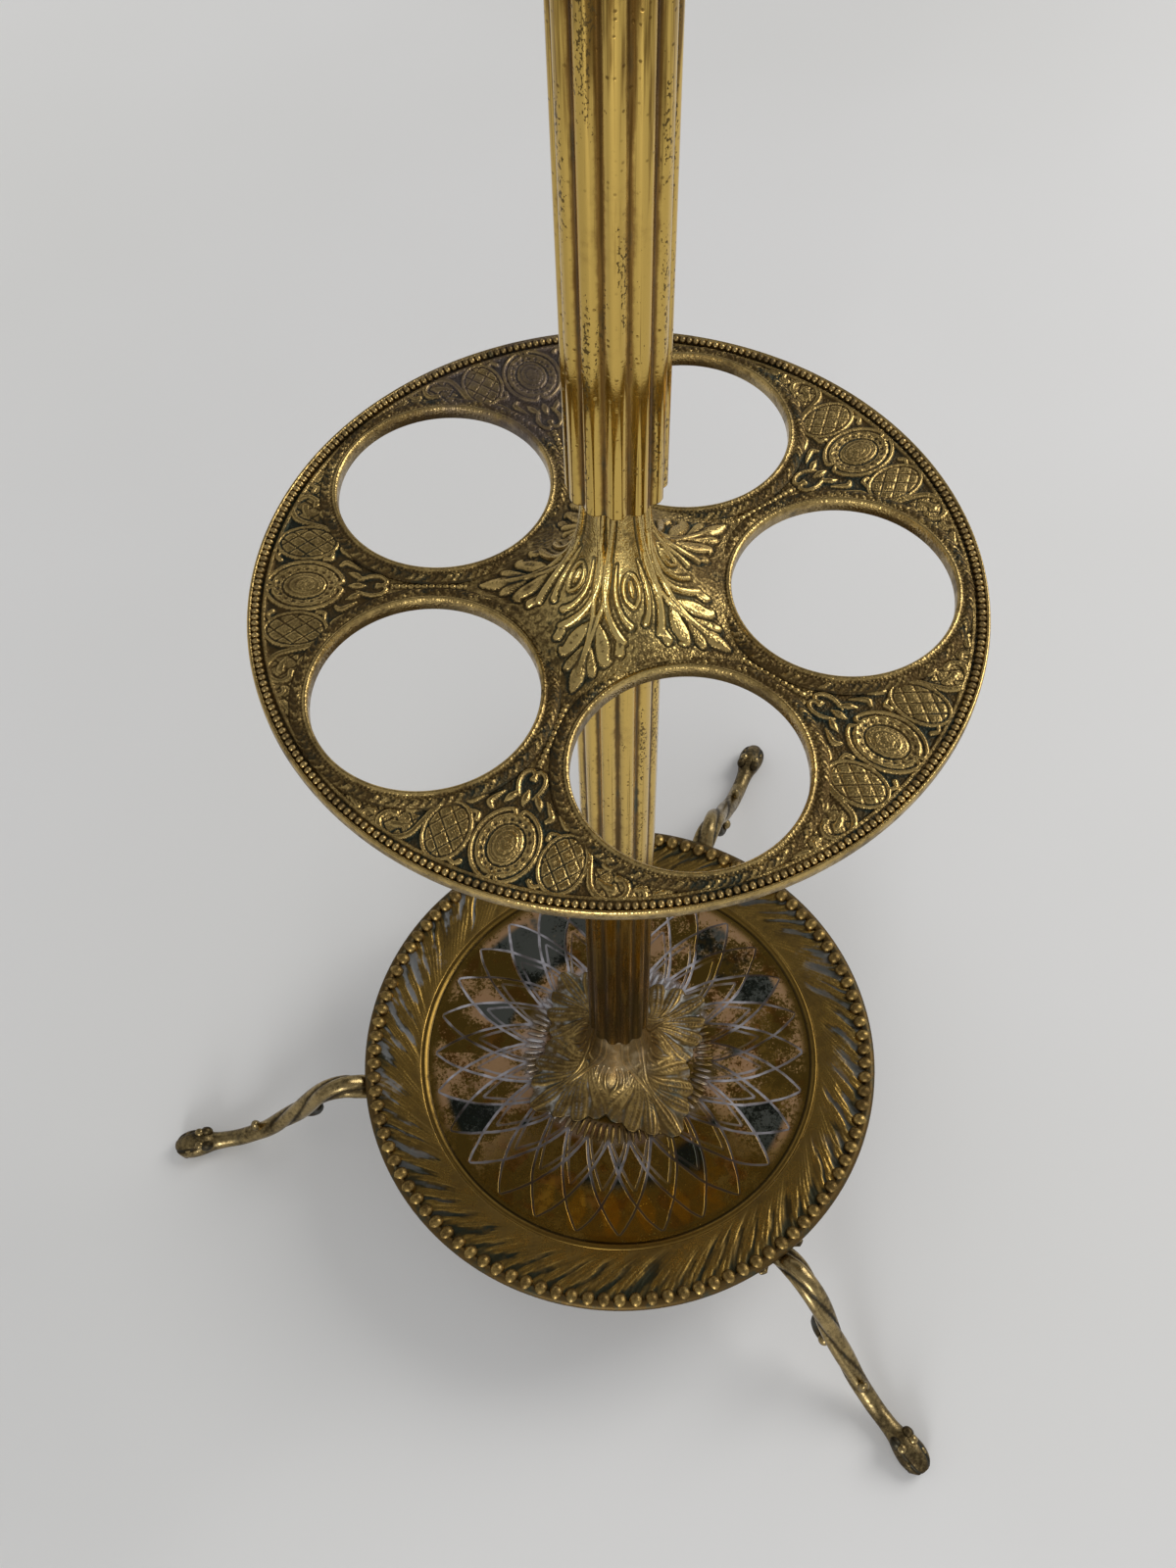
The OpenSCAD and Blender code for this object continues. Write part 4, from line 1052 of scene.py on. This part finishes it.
def corner_carving(x, y):
    """Relief of one corner over the place along its spoke and the distance from it, in millimetres, and where
    the bare ground lies dark between the ornaments."""
    strokes = []
    # Scrolled frame of the cartouche, its four ends curled in
    middle, long, wide = 106.4, 13.2, 10.4
    for way in (1, -1):
        end = middle - way * long
        path = [[middle, wide, 0.75, 0.9]]
        path += [[middle - way * long * math.sin(k), wide * math.cos(k), 0.8, 1.05]
                 for k in np.radians((20, 40, 60, 75))]
        path += [[end + way * 0.5, 1.6, 0.9, 1.15], [end + way * 2.0, 0.8, 0.8, 1.0],
                 [end + way * 2.9, 1.8, 0.95, 1.1]]
        strokes.append((path, 0.0))
    # Side lobe and its rope rim
    lobe_x, lobe_y, lobe_long, lobe_wide = 107.3, 18.9, 10.6, 7.2
    lobe = [[lobe_x + lobe_long * math.cos(k), lobe_y + lobe_wide * math.sin(k), 0.7, 0.95]
            for k in np.linspace(0, 2 * math.pi, 17)]
    strokes += [
        (lobe, 0.0),
        ([[98.0, 14.4, 0.7, 0.8], [98.4, 12.0, 0.9, 1.1], [100.6, 11.6, 1.0, 1.1]], 0.0),
        ([[116.0, 15.2, 0.7, 0.8], [117.4, 12.8, 0.9, 1.1], [116.0, 11.2, 1.0, 1.1]], 0.0),
        # Outer scroll with a knob inside its curl, and a smaller one beyond it
        ([[96.9, 21.9, 0.5, 0.6], [101.3, 25.7, 0.85, 0.9], [107.0, 27.4, 1.0, 1.1], [112.4, 29.6, 1.15, 1.2],
          [115.0, 34.5, 1.2, 1.25], [113.2, 39.0, 1.15, 1.2], [109.6, 40.4, 1.0, 1.2],
          [106.9, 38.7, 1.0, 1.1], [106.6, 36.3, 1.3, 1.2]], 0.25),
        ([[108.6, 30.4, 0.6, 0.6], [109.9, 33.2, 1.3, 0.9], [110.3, 35.8, 1.5, 1.0]], 0.3),
        ([[113.6, 41.0, 0.6, 0.7], [112.6, 44.4, 0.9, 1.0], [110.0, 46.0, 0.9, 1.0], [107.9, 44.6, 0.9, 0.9],
          [108.4, 42.8, 1.0, 0.9]], 0.0),
        ([[108.2, 48.4, 1.0, 0.8], [106.0, 51.2, 0.8, 0.7], [104.4, 53.5, 0.5, 0.5]], 0.0),
        ([[102.6, 29.6, 0.6, 0.6], [104.2, 32.4, 1.0, 0.9], [103.0, 35.0, 0.8, 0.7]], 0.0),
        # Neck: a volute, leaflets that reach for the cartouche, and comma hooks
        ([[88.4, 2.2, 0.4, 0.5], [86.2, 3.4, 0.8, 0.9], [83.0, 4.2, 0.9, 1.1], [80.0, 3.6, 0.9, 1.1],
          [78.4, 1.6, 0.9, 1.0], [79.6, 0.2, 0.8, 0.9], [81.4, 0.4, 1.0, 1.1]], 0.0),
        ([[85.8, 0.0, 0.5, 0.6], [88.6, 0.0, 1.4, 1.1], [91.4, 0.0, 0.4, 0.5]], 0.25),
        ([[86.6, 2.6, 0.4, 0.6], [89.2, 4.6, 1.3, 1.0], [91.6, 5.8, 0.4, 0.4]], 0.25),
        ([[88.0, 7.0, 0.4, 0.5], [90.2, 8.6, 0.9, 0.9], [93.0, 10.2, 1.2, 1.0], [94.8, 9.0, 0.8, 0.8]], 0.0),
        ([[91.0, 12.0, 0.4, 0.5], [93.0, 13.8, 0.9, 0.8], [95.2, 16.2, 1.0, 0.8], [94.8, 18.6, 0.6, 0.6]],
         0.0)]
    rise = relief(x, y, strokes, 22)
    # Fluted shell band with a scalloped rim, and the domed middle of the cartouche
    q = np.hypot((x - middle) / long, y / wide)
    way = np.arctan2(y / wide, (x - middle) / long)
    scallop = 0.035 * np.abs(np.cos(9 * way))
    band = capped((0.90 + scallop - q) / 0.05) * capped((q - 0.58) / 0.05)
    rise = np.maximum(rise, band * (0.62 + 0.17 * np.cos(18 * way) * capped((0.86 - q) * 9)
                                    + 0.22 * np.cos((q - 0.80) * 26)))
    inner = np.hypot((x - middle) / (long * 0.56), y / (wide * 0.52))
    dome = np.where(inner < 1, 0.45 + 0.75 * np.sqrt(capped(1 - inner ** 2)), 0)
    rise = np.maximum(rise, dome - 0.28 * hump(inner - 0.76, 0.07) - 0.20 * hump(inner - 0.42, 0.07))
    # Lobes and open field stand proud, with fine crossed lines cut into them
    inside = capped(1 - np.hypot((x - lobe_x) / (lobe_long - 0.6), (y - lobe_y) / (lobe_wide - 0.6)))
    open_field = capped(y - 28.6 - (x - 107) * 0.3) * capped((np.hypot(x, y) - 108.5) / 1.5)
    lines, apart = np.zeros_like(x), 4.3
    for lean in (1.0, -1.0):
        gap = np.abs(((x * 0.62 + lean * y * 0.78) / apart) % 1.0 - 0.5) * apart
        lines = np.maximum(lines, hump(apart / 2 - gap, 0.32))
    rise = np.maximum(rise, capped(inside * 9) * (0.62 + 0.35 * np.sqrt(inside) - 0.48 * lines))
    rise = np.maximum(rise, open_field * (0.42 - 0.42 * lines))
    # A string of small beads along the spoke
    bead = (x - 50.0) % 2.35 - 1.2
    string = 0.75 * np.sqrt(capped(1 - (bead / 1.25) ** 2 - (y / 1.15) ** 2))
    rise = np.maximum(rise, string * (x > 51) * (x < 77))
    rope = 0.5 + 0.5 * np.cos((x + y) * 2 * math.pi / 1.1)
    ground = capped(1 - rise / 0.35) * capped((x - 77) / 6)
    return rise * (0.90 + 0.10 * rope), ground


def corner_sheet(name, x_range, y_reach, pitch, keep):
    """The carved top of the plate where keep allows it, as a closed sheet that stands in the mouldings."""
    xs = np.arange(*x_range, pitch)
    ys = np.arange(-y_reach, y_reach + pitch, pitch)
    x, y = np.meshgrid(xs, ys, indexing="ij")
    seed = np.random.default_rng(3)
    rise, ground = corner_carving(x, np.abs(y))
    rise = rise + 0.03 * blurred(seed.normal(size=x.shape), 1, False)
    soft = blurred(rise, 5, False)
    hollow = capped((soft - rise) * 2.6 + 0.20 - 0.1 * soft + 0.42 * ground)
    kept = keep((x[:-1, :-1] + x[1:, 1:]) / 2, (y[:-1, :-1] + y[1:, 1:]) / 2)
    columns = x.shape[1]
    corner = (np.argwhere(kept) @ (columns, 1))[:, None]
    quads = corner + [0, columns, columns + 1, 1]
    top = np.stack((x, y, PLATE_TOP - 0.35 + rise), -1).reshape(-1, 3)
    edges = np.concatenate([quads[:, [k, (k + 1) % 4]] for k in range(4)])
    pairs = {tuple(e) for e in edges.tolist()}
    border = [e for e in pairs if (e[1], e[0]) not in pairs]
    keepers = np.unique(quads)
    renumber = np.full(len(top), -1)
    renumber[keepers] = np.arange(len(keepers))
    points, dark = top[keepers], hollow.reshape(-1)[keepers]
    faces = renumber[quads].tolist()
    # The sheet's outline, followed from point to point, gets a skirt that reaches down into the plate
    follow = dict(border)
    start = border[0][0]
    loop = [start]
    while follow[loop[-1]] != start:
        loop.append(follow[loop[-1]])
    low = {k: len(points) + n for n, k in enumerate(loop)}
    floor_points = top[loop].copy()
    floor_points[:, 2] = PLATE_TOP - 1.2
    points, dark = np.vstack((points, floor_points)), np.concatenate((dark, np.ones(len(loop))))
    for k, a in enumerate(loop):
        b = loop[(k + 1) % len(loop)]
        faces.append([renumber[b], renumber[a], low[a], low[b]])
    faces.append([low[k] for k in loop][::-1])
    five_copies(name, points, faces, dark, SPOKE)


hole_x, hole_y = HOLE_AT * math.cos(math.pi / HOLES), HOLE_AT * math.sin(math.pi / HOLES)


def clear_of_holes(x, y):
    """Whether a place along a spoke and off it lies outside the mouldings on both sides."""
    return np.hypot(x - hole_x, np.abs(y) - hole_y) > HOLE_R + 4.2


corner_sheet("ring_corners", (76.0, 119.5), 57.0, 0.36,
             lambda x, y: clear_of_holes(x, y) & (np.hypot(x, y) < 119.6) & (x > 77.0))
corner_sheet("ring_webs", (40.0, 77.6), 12.0, 0.34,
             lambda x, y: clear_of_holes(x, y) & (x > 42.0) & (x < 77.3) & (np.abs(y) < 11.5))

# The lip: a fine raised line, a channel for the beads, and a plain rolled edge with a skirt
lip = np.array([
    [117.0, -0.9], [118.6, -0.2], [119.0, 0.35], [119.5, 0.6], [120.0, 0.45], [120.4, 0.0], [120.9, -0.15],
    [123.2, -0.05], [123.6, 0.55], [123.9, 1.05], [124.3, 1.25], [124.7, 1.05], [124.95, 0.5], [125.0, -0.4],
    [125.0, -2.2], [124.7, -3.4], [124.0, -4.0], [122.0, -4.0], [120.0, -3.7], [117.5, -3.5], [117.0, -3.2]])
LIP_SIDES = 480
lip_dark = [0.8, 0.7, 0.3, 0.1, 0.3, 0.8, 0.85, 0.7, 0.35, 0.1, 0.0, 0.0, 0.05, 0.2, 0.3, 0.3, 0.4,
            0.5, 0.5, 0.5, 0.5]
make_piece("ring_lip", turned(lip[:, :1], PLATE_TOP + lip[:, 1:], round_angles(LIP_SIDES)),
           closed_ring(len(lip), LIP_SIDES), ring_brass, "umbrella_ring",
           np.repeat(lip_dark, LIP_SIDES))
bead_brass = brass("bead_brass", (0.50, 0.355, 0.14), (0.12, 0.08, 0.034), scale=50, brown_amount=0.26,
                   green_amount=0.0, gloss=0.22, dull=0.5,
                   hollow=lambda tree: times(tree, noise(tree, own_place(tree), 200, 2.0), 0.4))
grow("ring_lip_beads", RING_OF_BEADS, {
    "Count": 300, "Reach": 0.1222, "Height": 0.4765, "Bead": 0.00122, "Long": 1.22, "Tall": 1.1},
    bead_brass, "umbrella_ring")


def hub_carving(angle, along, radius):
    """An eye on each panel, veins that flow round it, and a lobed leaf on each spoke."""
    part = folded(angle, HOLES)
    across, from_spoke = part * radius, (math.pi / HOLES - part) * radius
    strokes = [
        ([[0, 29.0, 0.4, 0.4], [1.5, 30.6, 0.6, 0.9], [2.5, 34.2, 0.65, 1.1], [2.2, 38.2, 0.7, 1.1],
          [0.4, 41.0, 0.8, 1.1]], 0.0),
        ([[0, 32.4, 0.7, 0.9], [0, 34.8, 0.95, 1.3], [0, 37.4, 0.6, 0.9]], 0.0),
        ([[3.4, 25.0, 0.25, 0.1], [4.3, 29.4, 0.5, 0.8], [5.1, 34.2, 0.75, 1.1], [5.3, 39.0, 0.85, 1.15],
          [4.4, 43.8, 1.0, 1.2], [2.7, 47.0, 1.4, 1.3]], 0.0),
        ([[3.8, 1, 0.8, 1.3], [4.1, 9, 0.9, 1.7], [5.0, 17, 1.1, 1.9], [6.2, 24, 1.2, 1.8],
          [7.8, 31, 1.2, 1.6], [8.8, 37, 1.2, 1.5], [9.1, 43, 1.3, 1.4], [8.0, 48.5, 1.7, 1.4],
          [6.7, 51.6, 1.6, 1.3]], 0.0),
        ([[7.2, 50.2, 1.1, 1.0], [7.6, 52.6, 1.4, 1.2], [8.6, 55.4, 1.5, 1.2]], 0.7)]
    beside = np.zeros_like(across)
    rise = relief(across, along, strokes, 26, beside)
    leaf = [
        ([[0.75, 1, 0.6, 1.2], [1.1, 14, 0.75, 1.5], [1.8, 28, 1.0, 1.5], [1.8, 38, 1.0, 1.4],
          [0.8, 46, 0.9, 1.3], [0.4, 54, 0.7, 1.2]], 0.0),
        ([[0.5, 44, 0.8, 1.0], [0.3, 54, 0.9, 1.35], [0.2, 64, 0.8, 1.4], [0, 71, 0.4, 0.8]], 0.0),
        ([[1.2, 47.2, 1.2, 0.9], [3.2, 50.0, 1.9, 1.2], [4.8, 53.6, 2.4, 1.35], [5.8, 56.6, 2.1, 1.35],
          [7.4, 59.0, 1.4, 1.2], [8.4, 58.2, 0.9, 0.9]], 0.9),
        ([[1.2, 55.6, 1.1, 0.9], [2.4, 58.8, 1.6, 1.2], [3.6, 61.8, 1.7, 1.25], [4.4, 63.6, 1.2, 1.0]], 0.7),
        ([[0.3, 58.0, 1.5, 0.9], [0.3, 63.0, 2.2, 1.2], [0.2, 66.4, 2.2, 1.2], [0, 70.6, 0.9, 0.7]], 0.0)]
    rise = np.maximum(rise, relief(from_spoke, along, leaf, 26, beside))
    beside = beside * capped(1 - rise / 0.3)
    seed = np.random.default_rng(8)
    # Darker ground further out, as patina; painted shade in the grooves beside the ridges; and a painted
    # shadow round the top of the neck, under the tube's end
    sunk = np.clip((along - 30) / 90, 0, 0.25) + 0.84 * beside + 0.8 * hump(along, 1.8)
    grit = 0.03 + 0.09 * capped((along - 22) / 20) * capped(1 - rise)
    return rise - 0.45 * beside + grit * blurred(seed.normal(size=rise.shape), 1), sunk


def hub_reach(angle):
    """The trumpet runs out under the hole mouldings, and along the spokes to the leaf tips."""
    part = folded(angle, HOLES)
    under = HOLE_R + 3.4
    inner = HOLE_AT * np.cos(part) - np.sqrt(np.maximum(under ** 2 - (HOLE_AT * np.sin(part)) ** 2, 0))
    inner = np.where(HOLE_AT * np.sin(part) > under, 99, inner)
    # Distance along the flare for that reach
    return np.interp(np.minimum(inner, 52.0), [28, 33, 38, 43, 49, 56], [52.4, 57.8, 63.0, 68.0, 74.1, 81.1])


hub_sheet = [[9.6, 526.6], [9.9, 520], [10.2, 513], [11.0, 506], [12.4, 500], [14.9, 494], [18.2, 488.8],
             [22.8, 484.3], [28, 481.2], [33, 479.0], [38, 477.6], [43, 476.6], [49, 475.9], [56, 475.6]]
trumpet_piece("ring_trumpet", hub_sheet, hub_reach, hub_carving, math.radians(FIRST_HOLE),
              [(4.3, 533), (12.8, 533), (12.9, 527.4), (10.0, 527.0)], 474.8, ring_brass, "umbrella_ring",
              passes=6, depth=3.4)


# ---- Cap, washer and finial ----
# Turned brass: the cap closes the column, and the finial screws down on the rod over a thin washer and draws
# the whole stack tight.

turned_brass = brass("turned_brass", (0.60, 0.44, 0.165), (0.19, 0.12, 0.045), scale=40, brown_amount=0.16,
                     green_amount=-0.05, gloss=0.16, dull=0.4, pit_share=0.3, grain=0.05,
                     hollow=lambda tree: times(tree, 0.4, noise(tree, own_place(tree), 130)))
for node in ("top_cap", "finial_washer", "finial"):
    dress(node, turned_brass)


# ---- The room ----
# A plain pale floor that takes a soft shadow, a wide window light from the right and behind, a weaker
# window and a small low lamp in front, and grey walls and a dim ceiling that the polished brass reflects.

bpy.ops.mesh.primitive_plane_add(size=9.0, location=(AXIS[0], AXIS[1] + 1.0, 0.0))
floor = bpy.context.object
floor.name = "floor"
floor_paint, tree, shader = new_material("floor_paint")
place = own_place(tree)
mottle = soft_step(tree, noise(tree, place, 1.4, 3.0), 0.3, 0.7)
paper = blend_colour(tree, mottle, (0.75, 0.75, 0.74), (0.78, 0.78, 0.78))
tree.links.new(paper, shader.inputs["Base Color"])
shader.inputs["Roughness"].default_value = 0.75
# A little glow, seen directly and in the brass, keeps the paper pale in the shade, more so at the far left
across = vector(tree, "DOT_PRODUCT", place, (-0.55, 0.35, 0.0))["Value"]
glow = blend_colour(tree, soft_step(tree, across, -0.15, 0.55), (0.05, 0.05, 0.052), (0.17, 0.17, 0.165))
tree.links.new(glow, shader.inputs["Emission Color"])
light = tree.nodes.new("ShaderNodeLightPath").outputs
seen = most(tree, light["Is Camera Ray"], most(tree, light["Is Glossy Ray"], light["Is Transmission Ray"]))
tree.links.new(seen, shader.inputs["Emission Strength"])
floor.data.materials.append(floor_paint)


def window(name, place, target, size, power, colour):
    """A rectangle of light at a place that shines on a target."""
    lamp = bpy.data.lights.new(name, "AREA")
    lamp.shape, lamp.size, lamp.size_y = "RECTANGLE", *size
    lamp.energy, lamp.color = power, colour
    holder = new_object(name, lamp)
    holder.location = place
    holder.rotation_euler = (Vector(target) - Vector(place)).to_track_quat("-Z", "Y").to_euler()


window("window_right", (1.9, 1.0, 1.9), (0, 0, 0.3), (1.4, 1.8), 31, (1.0, 0.985, 0.96))
window("window_low", (-0.15, -1.45, 0.32), (0, 0, 0.5), (0.40, 0.30), 1.5, (1.0, 0.99, 0.97))
window("window_front", (-0.25, -2.4, 0.95), (0, 0, 0.45), (0.75, 1.1), 20, (0.97, 0.985, 1.0))

world = bpy.data.worlds.new("room")
bpy.context.scene.world = world
world.use_nodes = True
tree = world.node_tree
way = tree.nodes.new("ShaderNodeTexCoord").outputs["Generated"]
height = split(tree, way)["Z"]
band = soft_step(tree, noise(tree, way, 1.8, 2.0), 0.35, 0.65)
walls = blend_colour(tree, band, (0.22, 0.21, 0.20), (0.95, 0.95, 0.95))
ceiling = blend_colour(tree, soft_step(tree, height, 0.35, 0.9), walls, (0.50, 0.50, 0.50))
# A dim corner of the ceiling behind the stand, which the flat plates mirror
corner = vector(tree, "DOT_PRODUCT", way, (0.05, 0.56, 0.83))["Value"]
ceiling = blend_colour(tree, soft_step(tree, corner, 0.80, 0.97), ceiling, (0.16, 0.155, 0.15))
# Seen directly, past the floor's edge, the room is as plain and pale as the floor
seen = tree.nodes.new("ShaderNodeLightPath").outputs["Is Camera Ray"]
ceiling = blend_colour(tree, seen, ceiling, (0.74, 0.74, 0.735))
tree.links.new(ceiling, tree.nodes["Background"].inputs["Color"])
tree.nodes["Background"].inputs["Strength"].default_value = 0.8


# ---- The camera ----
# It looks down on the ring from the front, with the column running out of the top of the frame.

pitch, yaw, roll = 1.0097, -0.0362, -0.035
look = Vector((math.sin(yaw) * math.cos(pitch), math.cos(yaw) * math.cos(pitch), -math.sin(pitch)))
right = look.cross(Vector((0, 0, 1))).normalized()
up = right.cross(look)
right, up = (math.cos(roll) * right + math.sin(roll) * up, -math.sin(roll) * right + math.cos(roll) * up)
lens = bpy.data.cameras.new("camera")
lens.sensor_fit, lens.sensor_width, lens.lens = "HORIZONTAL", 36.0, 47.235
lens.clip_start = 0.02
camera = new_object("camera", lens)
camera.matrix_world = Matrix.Translation((AXIS[0], AXIS[1] - 0.33484, 0.88345)) @ Matrix(
    (right, up, -look)).transposed().to_4x4()
bpy.context.scene.camera = camera
bpy.context.scene.view_settings.view_transform = "Standard"
